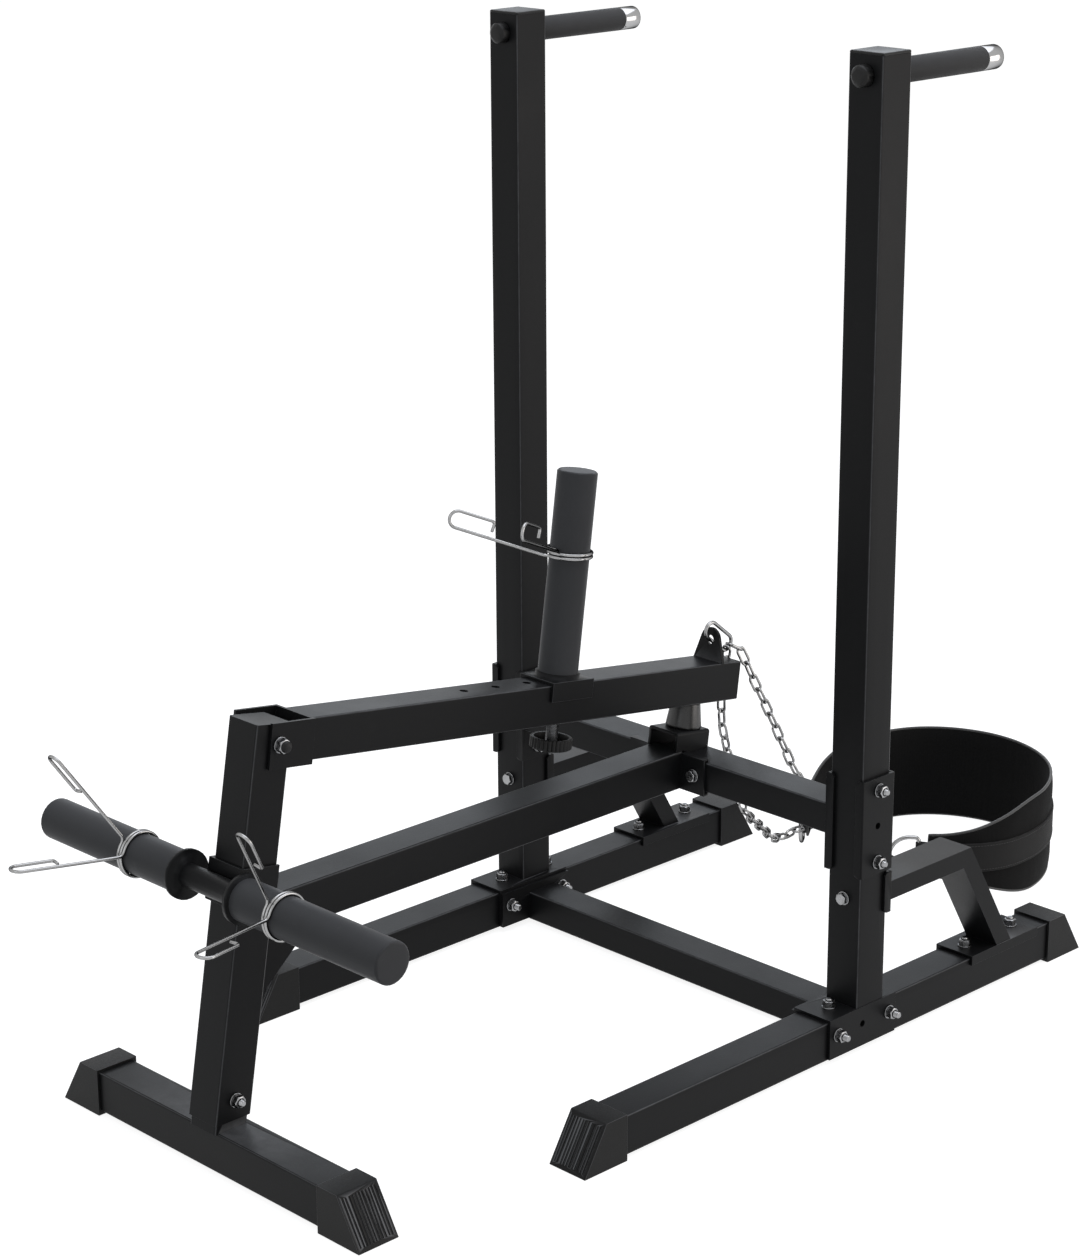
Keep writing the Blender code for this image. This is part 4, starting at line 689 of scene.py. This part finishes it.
BENDS = {"bumper_bracket": 0.004, "outer_channel_left": 0.002, "outer_channel_right": 0.002}
COATS = {}
for part in COATED:
    COATS[part] = softened(
        part + "_coat", part, COAT, body_of(part), COAT_ROUNDING, 50.0,
        BENDS.get(part, 0.0),
    )
sleeve_faces(COATS["storage_bar"], SHIFT, Vector((1, 0, 0)), STORAGE_SLEEVE_X)
sleeve_faces(COATS["weight_sleeve"], LEVER.translation, LEVER.col[2].xyz, SLEEVE_BOTTOM)
for part in NODES:
    name, body = part + "_moulding", body_of(part)
    if "_shoe_" in part:
        softened(name, part, RUBBER, body, COAT_ROUNDING, 40.0)
    elif part.startswith(("upright_cap", "handle_plug")):
        softened(name, part, PLASTIC, body, CAP_ROUNDING, 50.0)


# Bolts


def hexagon_reach(half_flat, chamfers):
    """Ring radii of a hexagon whose corners are cut by a cone at the given ends."""

    def reach(_, angle, height):
        turn = (angle + math.pi / 6) % (math.pi / 3) - math.pi / 6
        flat = half_flat / math.cos(turn)
        for end, way in chamfers:
            cut = CHAMFER_START * half_flat + (height - end) * way * CHAMFER_SLOPE
            flat = min(flat, cut)
        return flat

    return reach


def hexagon_rings(low, high, both=True):
    """Rings of a hexagon, close together where its corners are cut. hexagon_reach sizes them."""
    rise = [CHAMFER_DEPTH * k / 4 for k in range(5)]
    heights = [low + step for step in rise]
    heights += [high - step for step in reversed(rise)] if both else [high]
    return [(height, None) for height in heights]


def thread_rings(low, high, radius):
    """The rings of a screw thread with a blunt upper end."""
    sections = []
    height = low
    while height < high - 0.0012:
        sections += [(height, radius * 0.90), (height + THREAD_PITCH / 2, radius)]
        height += THREAD_PITCH
    sections += [(high - 0.0008, radius * 0.92), (high, radius * 0.74)]
    return sections


def washer(low, high, radius):
    edge = 0.0003
    return [(low, radius - edge), (low + edge, radius), (high - edge, radius), (high, radius - edge)]


def bolt_pieces(length, tail):
    """A bolt along +Z from its head's top at 0."""
    shape = Shape()
    reach = hexagon_reach(HALF_FLAT, ((0.0, 1.0),))
    shape.add(*rings(hexagon_rings(0.0, HEAD_HEIGHT, both=False), 48, reach))
    low = HEAD_HEIGHT
    shape.add(*rings(washer(low, low + WASHER_HEIGHT, WASHER_RADIUS), 40))
    nut_top = length - tail
    nut_low = nut_top - NUT_HEIGHT
    reach = hexagon_reach(HALF_FLAT, ((nut_low, 1.0), (nut_top, -1.0)))
    shape.add(*rings(washer(nut_low - WASHER_HEIGHT, nut_low, WASHER_RADIUS), 40))
    shape.add(*rings(hexagon_rings(nut_low, nut_top), 48, reach))
    shape.add(*rings(thread_rings(nut_top - 0.001, length, BOLT_RADIUS), 28))
    shank = [(low + 0.001, BOLT_RADIUS * 0.98), (nut_low, BOLT_RADIUS * 0.98)]
    shape.add(*rings(shank, 20))
    return shape


def bolt_axis(node_name):
    """The low end, the way and the length of a bolt along X or Y."""
    low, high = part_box(node_name)
    middle = (low + high) / 2
    size = high - low
    index = 0 if size.x > size.y else 1
    way = Vector((1, 0, 0)) if index == 0 else Vector((0, 1, 0))
    start = middle - way * size[index] / 2
    return start, way, size[index]


def lock_ring(high):
    """The dark ring in the end of a lock nut."""
    sections = [(high - 0.0004, LOCK_RING_RADIUS), (high + 0.0004, LOCK_RING_RADIUS - 0.0001)]
    return rings([*sections, (high + 0.0006, LOCK_RING_RADIUS - 0.0010)], 28)


LOCK_RINGS = Shape()
chance = random.Random(7)
for part in sorted(NODES):
    if "bolt" not in part and "stud" not in part or part == "pivot_bolt":
        continue
    start, way, length = bolt_axis(part)
    tail = next((value for key, value in TAILS.items() if part.startswith(key)), BOLT_TAIL)
    turn = Matrix.Rotation(chance.uniform(0, math.pi / 3), 4, "Z")
    stand = way.to_track_quat("Z", "Y").to_matrix().to_4x4()
    matrix = Matrix.Translation(start) @ stand @ turn
    shape = bolt_pieces(length, tail)
    points = [matrix @ point for point in shape.points]
    LOCK_RINGS.add(*lock_ring(length - tail), matrix)
    piece(part + "_plated", points, shape.faces, ZINC, body_of(part), (part,))


def saddle_bolts():
    """Upright bolts through the saddles and rails: a nut and a thread end on top."""
    shape = Shape()
    top = RAIL_BOTTOM + TUBE + SEAT + PLATE
    nut_low = WASHER_HEIGHT
    nut_top = nut_low + NUT_HEIGHT
    reach = hexagon_reach(HALF_FLAT, ((nut_low, 1.0), (nut_top, -1.0)))
    for y in SADDLE_BOLT_Y:
        for sign in (-1, 1):
            place = Matrix.Translation(SHIFT + Vector((sign * RAIL_X, y, top)))
            place = place @ Matrix.Rotation(chance.uniform(0, math.pi / 3), 4, "Z")
            shape.add(*rings(washer(0.0, WASHER_HEIGHT, WASHER_RADIUS), 40), place)
            shape.add(*rings(hexagon_rings(nut_low, nut_top), 48, reach), place)
            thread_end = thread_rings(nut_top - 0.001, nut_top + BOLT_TAIL / 2, BOLT_RADIUS)
            shape.add(*rings(thread_end, 28), place)
            LOCK_RINGS.add(*lock_ring(nut_top), place)
    piece("saddle_bolts_plated", shape.points, shape.faces, ZINC, "frame")


def pivot_bolt():
    """The lever's axle: a domed head and a spacer on the left, a capped nut on the right."""
    face = TUBE / 2 + EAR_PLAY + PLATE + SEAT
    washer_top = face + WASHER_HEIGHT
    nut_top = washer_top + PIVOT_NUT_HEIGHT
    left = -TUBE / 2 - EAR_GAP_LEFT - PLATE - SEAT
    left_washer = left - WASHER_HEIGHT
    head_end = left_washer - PIVOT_HEAD_HEIGHT
    place = Matrix.Translation(PIVOT + SHIFT) @ Matrix.Rotation(math.pi / 2, 4, "Y")
    shape = Shape()
    head = [(head_end, 0.004), (head_end + 0.0006, 0.0064), (head_end + 0.002, 0.0081)]
    head += [(head_end + 0.0038, PIVOT_HEAD_RADIUS), (left_washer, PIVOT_HEAD_RADIUS - 0.0003)]
    shape.add(*rings(head, 48), place)
    shape.add(*rings(washer(left_washer, left, PIVOT_WASHER_RADIUS), 48), place)
    shape.add(*rings(washer(face, washer_top, PIVOT_WASHER_RADIUS), 48), place)
    spacer = (SEAT - TUBE / 2 - EAR_GAP_LEFT, -TUBE / 2 - SEAT, PIVOT_SPACER_RADIUS)
    shape.add(*rings(washer(*spacer), 48), place)
    reach = hexagon_reach(PIVOT_NUT_HALF_FLAT, ((washer_top, 1.0), (nut_top, -1.0)))
    turned = place @ Matrix.Rotation(math.radians(14), 4, "Z")
    shape.add(*rings(hexagon_rings(washer_top, nut_top), 48, reach), turned)
    shape.add(*rings([(left, PIVOT_RADIUS * 0.99), (washer_top, PIVOT_RADIUS * 0.99)], 32), place)
    piece(
        "pivot_bolt_plated", shape.points, shape.faces, ZINC, "frame", ("pivot_bolt",)
    )
    cap = [(nut_top - 0.0004, 0.0071), (nut_top + 0.0022, 0.0069), (nut_top + 0.0038, 0.0058)]
    cap += [(nut_top + 0.0047, 0.0038), (nut_top + 0.0050, 0.0012)]
    turned_part("pivot_nut_cap", cap, 36, place, PLASTIC, "frame")


saddle_bolts()
pivot_bolt()
piece("bolt_lock_rings", LOCK_RINGS.points, LOCK_RINGS.faces, PLASTIC, "frame")


# Handles, bumper and knob


def handles():
    """A foam grip on each handle and the chromed end that stands out behind it."""
    for side in ("left", "right"):
        low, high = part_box(f"handle_grip_{side}")
        low_tube, high_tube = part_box(f"handle_tube_{side}")
        middle = (low + high) / 2
        along = Matrix.Translation((middle.x, 0, middle.z)) @ Matrix.Rotation(-math.pi / 2, 4, "X")
        grip = []
        for depth, inset in ((0.0, 0.0016), (0.0006, 0.0004), (0.002, 0.0)):
            grip.append((low.y + depth, GRIP_RADIUS - inset))
        grip += [(low.y + high.y - y, radius) for y, radius in reversed(grip)]
        name = f"handle_grip_{side}"
        turned_part(name + "_foam", grip, 48, along, FOAM, "frame", (name,))
        end = high_tube.y
        start = high.y + SEAT
        tube = [(low_tube.y, HANDLE_RADIUS), (start, HANDLE_RADIUS)]
        tube += [(start, CHROME_RADIUS - 0.0005), (high.y + 0.0012, CHROME_RADIUS)]
        rounding = ((0.0030, 0.0), (0.0012, 0.0004), (0.0003, 0.0013), (0.0, 0.0027))
        tube += [(end - depth, CHROME_RADIUS - inset) for depth, inset in rounding]
        tube += [(end - 0.0004, CHROME_RADIUS - 0.0044), (end - 0.0006, 0.0004)]
        name = f"handle_tube_{side}"
        turned_part(name + "_chrome", tube, 48, along, CHROME, "frame", (name,), 40.0)


def bumper():
    """A rubber cone under the lever, with rounded edges."""
    high = -TUBE / 2 - SEAT
    low = high - BUMPER_HEIGHT
    along = (BUMPER_Y - PIVOT.y) / math.cos(LEVER_SLOPE)
    place = LEVER @ Matrix.Translation((0, along, 0))
    sections = [(low, BUMPER_RADIUS - 0.0017), (low + 0.0005, BUMPER_RADIUS - 0.0006)]
    sections += [(low + 0.002, BUMPER_RADIUS), (low + 0.004, BUMPER_RADIUS - 0.0002)]
    sections += [(high - 0.004, BUMPER_TOP_RADIUS + 0.0006), (high - 0.0015, BUMPER_TOP_RADIUS)]
    sections += [(high - 0.0004, BUMPER_TOP_RADIUS - 0.0010)]
    sections += [(high, BUMPER_TOP_RADIUS - 0.0023)]
    turned_part(
        "rubber_bumper_moulding", sections, 56, place, BUMPER, "frame",
        ("rubber_bumper",), 50.0,
    )


def knob():
    """A ribbed cup on a threaded shaft under the lever."""
    place = LEVER @ Matrix.Translation((0, SLEEVE_S, 0))
    rim = -TUBE / 2 - KNOB_GAP
    bottom = rim - KNOB_HEIGHT
    floor_top = bottom + KNOB_WALL
    outer = KNOB_RADIUS
    inner = outer - KNOB_WALL - KNOB_GROOVE

    def ribbed(radius, angle, height):
        if radius < outer - 0.0001 or height < bottom + 0.0012:
            return radius
        wave = 0.5 + 0.5 * math.cos(KNOB_RIBS * angle)
        return radius - KNOB_GROOVE * (1 - wave ** 0.45)

    profile = [(bottom, 0.002), (bottom, outer - 0.0030), (bottom + 0.0008, outer - 0.0021)]
    profile += [(bottom + 0.0016, outer), (rim - 0.0012, outer), (rim - 0.0005, outer - 0.0008)]
    profile += [(rim, outer - 0.0019), (rim - 0.0004, inner + 0.0006), (rim - 0.0016, inner)]
    profile += [(floor_top, inner), (floor_top, 0.0079)]
    shape = Shape()
    shape.add(*rings(profile, KNOB_RIBS * 6, ribbed), place)
    hub = [(floor_top - 0.0002, 0.0105), (floor_top + 0.004, 0.0105)]
    hub += [(floor_top + 0.0046, 0.0098), (floor_top + 0.0046, KNOB_SHAFT_RADIUS)]
    shape.add(*rings(hub, 48), place)
    piece(
        "sleeve_knob_moulding", shape.points, shape.faces, PLASTIC, "knob",
        ("sleeve_knob",), 40.0,
    )
    shaft = thread_rings(floor_top, -TUBE / 2 - SEAT, KNOB_SHAFT_RADIUS)
    turned_part("sleeve_knob_shaft", shaft, 40, place, ZINC, "knob")


handles()
bumper()
knob()


# Spring collars


def arm_points(radius, turn, way, height):
    """From the coil outwards: a bend, the arm, the finger loop and its short end."""
    out = Vector((math.cos(turn), math.sin(turn), 0))
    side = Vector((-math.sin(turn), math.cos(turn), 0)) * way
    up = Vector((0, 0, 1))
    centre = out * (radius + ARM_BEND) + up * height
    points = []
    steps = 8
    last = math.pi / 2 - ARM_SPLAY
    for step in range(steps + 1):
        bend = last * step / steps
        points.append(centre - out * ARM_BEND * math.cos(bend) + side * ARM_BEND * math.sin(bend))
    level = side * math.cos(last) + out * math.sin(last)
    along = level * math.cos(ARM_TILT) + up * math.sin(ARM_TILT)
    rising = up * math.cos(ARM_TILT) - level * math.sin(ARM_TILT)
    start = points[-1]
    bow = LOOP_WIDTH / 2
    tip = start + along * ARM_LENGTH
    points += [start.lerp(tip, k / 6) for k in range(1, 7)]
    for step in range(1, 17):
        bend = math.pi * step / 16
        points.append(tip + rising * bow * (1 - math.cos(bend)) + along * bow * math.sin(bend))
    corner = 0.004
    back = points[-1] - along * (LOOP_LENGTH - corner)
    points += [points[-1].lerp(back, 0.5), back]
    for step in range(1, 7):
        bend = math.pi / 2 * step / 6
        points.append(
            back - along * corner * math.sin(bend) - rising * corner * (1 - math.cos(bend))
        )
    points.append(points[-1] - rising * (LOOP_WIDTH - corner - 2 * WIRE_RADIUS - LOOP_STUB))
    return points


def collar_path():
    """The whole wire: one arm, the coil round the sleeve, the other arm."""
    radius = SLEEVE_RADIUS + SEAT + WIRE_RADIUS
    total = 2 * math.pi * COIL_TURNS + ARM_SPREAD
    rise = COIL_PITCH * total / (2 * math.pi)
    first = arm_points(radius, -ARM_SPREAD / 2, -1, -rise / 2)
    last = arm_points(radius, ARM_SPREAD / 2, 1, rise / 2)
    count = round(COIL_POINTS * total / (2 * math.pi))
    coil = []
    for k in range(1, count):
        turn = -ARM_SPREAD / 2 + total * k / count
        height = -rise / 2 + rise * k / count
        coil.append(Vector((radius * math.cos(turn), radius * math.sin(turn), height)))
    return [*reversed(first), *coil, *last]


def frame_from(x_axis, z_axis, origin):
    y_axis = z_axis.cross(x_axis)
    turn = Matrix((x_axis, y_axis, z_axis)).transposed().to_4x4()
    return Matrix.Translation(origin) @ turn


def collars():
    """The same bent wire on both storage sleeves and on the weight sleeve."""
    post = Matrix.Translation(POST_FOOT) @ Matrix.Rotation(-POST_LEAN, 4, "X")
    bar = post @ Vector((0, -STORAGE_FRONT, STORAGE_S)) + SHIFT
    arms = Vector((0, -math.cos(STORAGE_COLLAR_TURN), math.sin(STORAGE_COLLAR_TURN)))
    places = {}
    for side, sign in (("left", -1), ("right", 1)):
        centre = (STORAGE_COLLAR_X[side] + SHIFT.x, bar.y, bar.z)
        places[f"storage_collar_{side}"] = frame_from(arms, Vector((sign, 0, 0)), centre)
    arms = Vector((math.cos(SLEEVE_COLLAR_TURN), math.sin(SLEEVE_COLLAR_TURN), 0))
    height = TUBE / 2 + SEAT + PLATE + SLEEVE_COLLAR_HEIGHT
    places["sleeve_collar"] = LEVER @ frame_from(arms, Vector((0, 0, 1)), (0, SLEEVE_S, height))
    points, faces = sweep(collar_path(), WIRE_RADIUS, 12)
    for name, place in places.items():
        moved = [place @ point for point in points]
        piece(name + "_wire", moved, faces, STEEL, name, (name,), 60.0)


collars()


# Hook, chain and belt


def belt_stations(count):
    """Points along the belt, each with its ways along and outward and its share of height."""
    path = smooth_path([Vector((x, y, 0)) for x, y in BELT_PLAN], 0.001)
    total = len(path) - 1
    stations = []
    for k in range(count + 1):
        i = round(total * k / count)
        before = path[max(0, i - 1)]
        after = path[min(total, i + 1)]
        along = (after - before).normalized()
        outward = Vector((-along.y, along.x, 0))
        share = min(1.0, min(i, total - i) * 0.001 / BELT_TAPER)
        share = share * share * (3 - 2 * share)
        stations.append((path[i], along, outward, share))
    return stations


def ring_bars():
    """Where each ring's straight bar is, with the ways off the belt's end and outward."""
    bars = []
    out = BELT_THICK / 2 + SEAT + STRAP_THICK / 2
    for (here, along, outward, _), sign in zip(belt_stations(1), (-1, 1)):
        off = along * sign
        bars.append((here + outward * out + off * STRAP_REACH, off, outward))
    return bars


def hook_frame():
    """The hook's way along, the way over it, and its centre."""
    along = Vector((0, math.cos(HOOK_SLOPE), -math.sin(HOOK_SLOPE)))
    over = Vector((0, math.sin(HOOK_SLOPE), math.cos(HOOK_SLOPE)))
    return along, over, EYE + along * HOOK_BACK + over * HOOK_LOW


def steel_wire(node_name, path, radius, sides):
    """A closed round wire in place of one of the belt's nodes."""
    points, faces = sweep(path, radius, sides, closed=True)
    piece(
        node_name + "_wire", points, faces, STEEL, "belt", (node_name,), 60.0
    )


def oval(centre, along, across, half_length, half_width, steps):
    """Two half circles joined by straight sides."""
    straight = half_length - half_width
    path = []
    for sign in (1, -1):
        for step in range(steps + 1):
            turn = math.pi * step / steps - math.pi / 2
            path.append(
                centre
                + sign * along * (straight + half_width * math.cos(turn))
                + sign * across * half_width * math.sin(turn)
            )
    return path


def hook():
    along, over, centre = hook_frame()
    path = oval(centre + SHIFT, along, over, HOOK_HALF_LENGTH, HOOK_HALF_WIDTH, 20)
    steel_wire("hook_link", path, HOOK_RADIUS, 16)


def chain(side, turn, lean, controls, tip):
    """Real interlocked links from the hook's bow to a ring's tip."""
    along, over, centre = hook_frame()
    out = along * math.cos(turn) + over * math.sin(turn)
    bow = centre + along * (HOOK_HALF_LENGTH - HOOK_HALF_WIDTH) + out * HOOK_HALF_WIDTH
    down = (out + Vector((lean, 0, 0))).normalized()
    arrive = (tip - Vector(controls[-1])).normalized()
    hold = HOOK_RADIUS + SEAT
    ring_hold = RING_WIRE + SEAT
    path = smooth_path(
        [
            bow - down * hold,
            bow + down * (LINK_PITCH - hold),
            *(Vector(point) for point in controls),
            tip - arrive * (LINK_PITCH - ring_hold),
            tip + arrive * ring_hold,
        ],
        LINK_PITCH,
        odd=True,
    )
    level = Vector((1, 0, 0))
    shape = Shape()
    for i in range(len(path) - 1):
        step = path[i + 1] - path[i]
        way = step.normalized()
        level = (level - way * level.dot(way)).normalized()
        across = way.cross(level) if i % 2 else level
        half_length = step.length / 2 + LINK_WIRE
        middle = (path[i] + path[i + 1]) / 2 + SHIFT
        link = oval(middle, way, across, half_length, LINK_HALF_WIDTH, 10)
        shape.add(*sweep(link, LINK_WIRE, 10, closed=True))
    name = f"chain_{side}"
    piece(name + "_links", shape.points, shape.faces, STEEL, "belt", (name,), 60.0)


def ring_path(bar, off):
    """A ring like a D: a straight bar with rounded corners, and a half circle off it."""
    up = Vector((0, 0, 1))
    centre = bar + SHIFT + up * belt_middle(0)
    half = RING_HALF_HEIGHT
    straight = half - RING_CORNER

    def corner(sign, step):
        turn = math.pi / 2 * step / 6
        rise = sign * up * (straight + RING_CORNER * math.sin(turn))
        return centre + rise + off * RING_CORNER * (1 - math.cos(turn))

    path = [centre - up * straight * (1 - k / 3) for k in range(6)]
    path += [corner(1, step) for step in range(7)]
    for step in range(25):
        turn = math.pi / 2 - math.pi * step / 24
        reach = RING_REACH - half + half * math.cos(turn)
        path.append(centre + off * reach + up * half * math.sin(turn))
    path += [corner(-1, step) for step in range(6, 0, -1)]
    return path


def band(stations, profile_at):
    """A closed band through the stations. profile_at gives (outward, height) points."""
    points = []
    for here, _, outward, share in stations:
        profile = profile_at(share)
        points += [here + SHIFT + outward * out + Vector((0, 0, z)) for out, z in profile]
    return points, tube_faces(len(stations), len(points) // len(stations))


def belt_middle(share):
    return BELT_HEIGHT / 2 + BELT_END_LIFT * (1 - share)


def belt_half(share):
    return (BELT_END_HEIGHT + (BELT_HEIGHT - BELT_END_HEIGHT) * share) / 2 - PIPING_RADIUS


def pad_profile(share):
    """The pad's section: flat where the strap lies, crowned above and below it."""
    half = belt_half(share)
    middle = belt_middle(share)
    thick = BELT_THICK / 2
    strap = STRAP_WIDTH / 2
    profile = []
    steps = 16
    for k in range(steps + 1):
        height = -half + 2 * half * k / steps
        crown = max(0.0, (abs(height) - strap) / max(half - strap, 0.001))
        puff = PAD_CROWN * (math.sin(math.pi * min(1.0, crown)) - 1)
        pull = PAD_EDGE * max(0.0, crown - 0.75) * 4 * crown
        profile.append((thick + puff - pull, middle + height))
    for k in range(steps, -1, -1):
        height = -half + 2 * half * k / steps
        edge = abs(height) / half
        profile.append((-thick + PAD_EDGE * max(0.0, edge - 0.86) / 0.14, middle + height))
    return profile


def belt():
    """The pad with its binding, the strap with its stitches, and the rings."""
    stations = belt_stations(150)
    points, faces = band(stations, pad_profile)
    pad = piece("belt_pad_cloth", points, faces, CLOTH, "belt", ("belt_pad",), 50.0)
    up = Vector((0, 0, 1))
    top = [s[0] + SHIFT + up * (belt_middle(s[3]) + belt_half(s[3])) for s in stations]
    low = [s[0] + SHIFT + up * (belt_middle(s[3]) - belt_half(s[3])) for s in stations]
    edges = [
        [top[-1].lerp(low[-1], k / 12) for k in range(1, 12)],
        [low[0].lerp(top[0], k / 12) for k in range(1, 12)],
    ]
    loop = [*top, *edges[0], *reversed(low), *edges[1]]
    points, faces = sweep(loop, PIPING_RADIUS, 12, closed=True)
    piece("belt_binding", points, faces, PIPING, "belt", (), 60.0)
    half = STRAP_WIDTH / 2
    near = BELT_THICK / 2 - STRAP_SINK
    far = BELT_THICK / 2 + SEAT + STRAP_THICK

    def strap_profile(share):
        middle = belt_middle(share)
        edge = 0.0005
        return [
            (near, middle - half),
            (far - edge, middle - half),
            (far, middle - half + edge),
            (far, middle - half * 0.5),
            (far, middle),
            (far, middle + half * 0.5),
            (far, middle + half - edge),
            (far - edge, middle + half),
            (near, middle + half),
        ]

    shape = Shape()
    shape.add(*band(stations, strap_profile))
    for bar, off, outward in ring_bars():
        shape.add(*strap_loop(bar, off, outward))
    piece(
        "belt_strap_web", shape.points, shape.faces, WEBBING, "belt",
        ("belt_strap",), 45.0,
    )
    stitches(stations, far)
    for side, (bar, off, _) in zip(("left", "right"), ring_bars()):
        steel_wire(f"belt_ring_{side}", ring_path(bar, off), RING_WIRE, 14)


def strap_loop(bar, off, outward):
    """The strap's end: out to the ring's bar, round it, and back on itself."""
    thick = 0.0014
    reach = RING_WIRE + SEAT + thick / 2
    root = bar - off * (STRAP_REACH + 0.010)
    way = outward - off * outward.dot(off)
    way.normalize()
    path = [root + way * 0.0002, root.lerp(bar, 0.45) + way * 0.0012]
    for k in range(13):
        turn = math.pi / 2 - math.pi * k / 12
        path.append(bar + way * reach * math.sin(turn) + off * reach * math.cos(turn))
    path += [root.lerp(bar, 0.45) - way * 0.0010, root - way * 0.0002]
    points = []
    low = belt_middle(0) - STRAP_WIDTH / 2
    high = belt_middle(0) + STRAP_WIDTH / 2
    for i, here in enumerate(path):
        before = path[max(0, i - 1)]
        after = path[min(len(path) - 1, i + 1)]
        along = (after - before).normalized()
        normal = Vector((-along.y, along.x, 0)) * thick / 2
        for offset, z in ((normal, low), (normal, high), (-normal, high), (-normal, low)):
            points.append(here + SHIFT + offset + Vector((0, 0, z)))
    return points, tube_faces(len(path), 4)


def stitches(stations, far):
    """Two rows of thread along the strap, near its edges."""
    shape = Shape()
    path = [s[0] + Vector((0, 0, belt_middle(s[3]))) for s in stations]
    path = smooth_path(path, STITCH_PITCH)
    for k in range(3, len(path) - 4):
        along = path[k + 1] - path[k - 1]
        outward = Vector((-along.y, along.x, 0)).normalized()
        start = path[k]
        end = start + (path[k + 1] - start) * STITCH_SHARE
        for row in (-1, 1):
            height = row * (STRAP_WIDTH / 2 - STITCH_INSET)
            lift = SHIFT + outward * (far + 0.0001) + Vector((0, 0, height))
            a, b = start + lift, end + lift
            shape.add(*sweep([a, a.lerp(b, 0.5), b], STITCH_RADIUS, 6))
    piece("belt_stitches", shape.points, shape.faces, THREAD, "belt", (), 60.0)


hook()
TIPS = [bar + off * RING_REACH + Vector((0, 0, belt_middle(0))) for bar, off, _ in ring_bars()]
chain("left", LEFT_CHAIN_TURN, LEFT_CHAIN_LEAN, LEFT_CHAIN_PATH, TIPS[0])
chain("right", RIGHT_CHAIN_TURN, RIGHT_CHAIN_LEAN, RIGHT_CHAIN_PATH, TIPS[1])
belt()


# Floor, light and camera


def white_rays(tree):
    """1 for camera, glossy and transmission rays, which see the background white, else 0."""
    rays = tree.nodes.new("ShaderNodeLightPath").outputs
    seen = rays["Is Camera Ray"]
    for kind in ("Is Glossy Ray", "Is Transmission Ray"):
        either = tree.nodes.new("ShaderNodeMath")
        either.operation = "MAXIMUM"
        tree.links.new(seen, either.inputs[0])
        tree.links.new(rays[kind], either.inputs[1])
        seen = either.outputs[0]
    return seen


def floor():
    size = 12.0
    drop = 0.0006
    mesh = bpy.data.meshes.new("floor")
    corners = [(-size, -size), (size, -size), (size, size), (-size, size)]
    mesh.from_pydata([(x, y, -drop) for x, y in corners], [], [(0, 1, 2, 3)])
    made = bpy.data.objects.new("floor", mesh)
    bpy.context.scene.collection.objects.link(made)
    n = Nodes("floor_paper")
    color = n.mix(n.noise(3.0, 2.0), grey(0.44), grey(0.46))
    glow = n.math("MULTIPLY", white_rays(n.tree), 0.88)
    white = (1, 1, 1, 1)
    n.finish(color, 0.9, Specular_IOR_Level=0.0, Emission_Strength=glow, Emission_Color=white)
    mesh.materials.append(n.material)


def world():
    """White where it is seen, and a soft fill light on the object."""
    made = bpy.data.worlds.new("studio")
    bpy.context.scene.world = made
    made.use_nodes = True
    tree = made.node_tree
    level = tree.nodes.new("ShaderNodeMapRange")
    level.inputs["To Min"].default_value = 0.35
    level.inputs["To Max"].default_value = 1.0
    background = tree.nodes["Background"]
    background.inputs["Color"].default_value = (1, 1, 1, 1)
    tree.links.new(white_rays(tree), level.inputs["Value"])
    tree.links.new(level.outputs[0], background.inputs["Strength"])


def lamp(name, place, target, size, power, tint):
    data = bpy.data.lights.new(name, "AREA")
    data.color = tint
    data.shape = "RECTANGLE"
    data.size, data.size_y = size
    data.energy = power
    made = bpy.data.objects.new(name, data)
    bpy.context.scene.collection.objects.link(made)
    made.location = place
    aim = Vector(target) - Vector(place)
    made.rotation_mode = "QUATERNION"
    made.rotation_quaternion = aim.to_track_quat("-Z", "Y")


def camera():
    """The photograph's view, as fitted to its straight edges."""
    turn, rise, roll = math.radians(45.91), math.radians(17.68), math.radians(-0.33)
    forward = Vector(
        (-math.sin(turn) * math.cos(rise), math.cos(turn) * math.cos(rise), -math.sin(rise))
    )
    right = Vector((math.cos(turn), math.sin(turn), 0))
    up = right.cross(forward)
    across = right * math.cos(roll) + up * math.sin(roll)
    above = up * math.cos(roll) - right * math.sin(roll)
    data = bpy.data.cameras.new("photo_camera")
    data.sensor_width = 36.0
    data.lens = 88.166
    data.clip_start = 0.1
    data.clip_end = 60.0
    made = bpy.data.objects.new("photo_camera", data)
    bpy.context.scene.collection.objects.link(made)
    place = Vector((2.56334, -2.73841, 1.67147)) + SHIFT
    made.matrix_world = Matrix.Translation(place) @ Matrix(
        (across, above, -forward)
    ).transposed().to_4x4()
    bpy.context.scene.camera = made


floor()
world()
lamp("top_softbox", (0.3, 0.6, 3.4), (0, 0, 0.4), (3.0, 3.0), 60.0, (0.88, 0.91, 1.0))
lamp("right_softbox", (3.2, 2.2, 1.0), (0, 0, 0.5), (2.4, 2.0), 42.0, (1.0, 0.93, 0.88))
lamp("rear_softbox", (-3.2, 3.2, 2.2), (0, 0, 0.3), (3.0, 1.6), 27.0, (0.80, 0.89, 1.0))
lamp("front_softbox", (0.6, -4.0, 2.0), (0, 0, 0.5), (2.0, 2.0), 14.0, (0.9, 0.95, 1.0))
camera()

view_settings = bpy.context.scene.view_settings
view_settings.view_transform = "Standard"
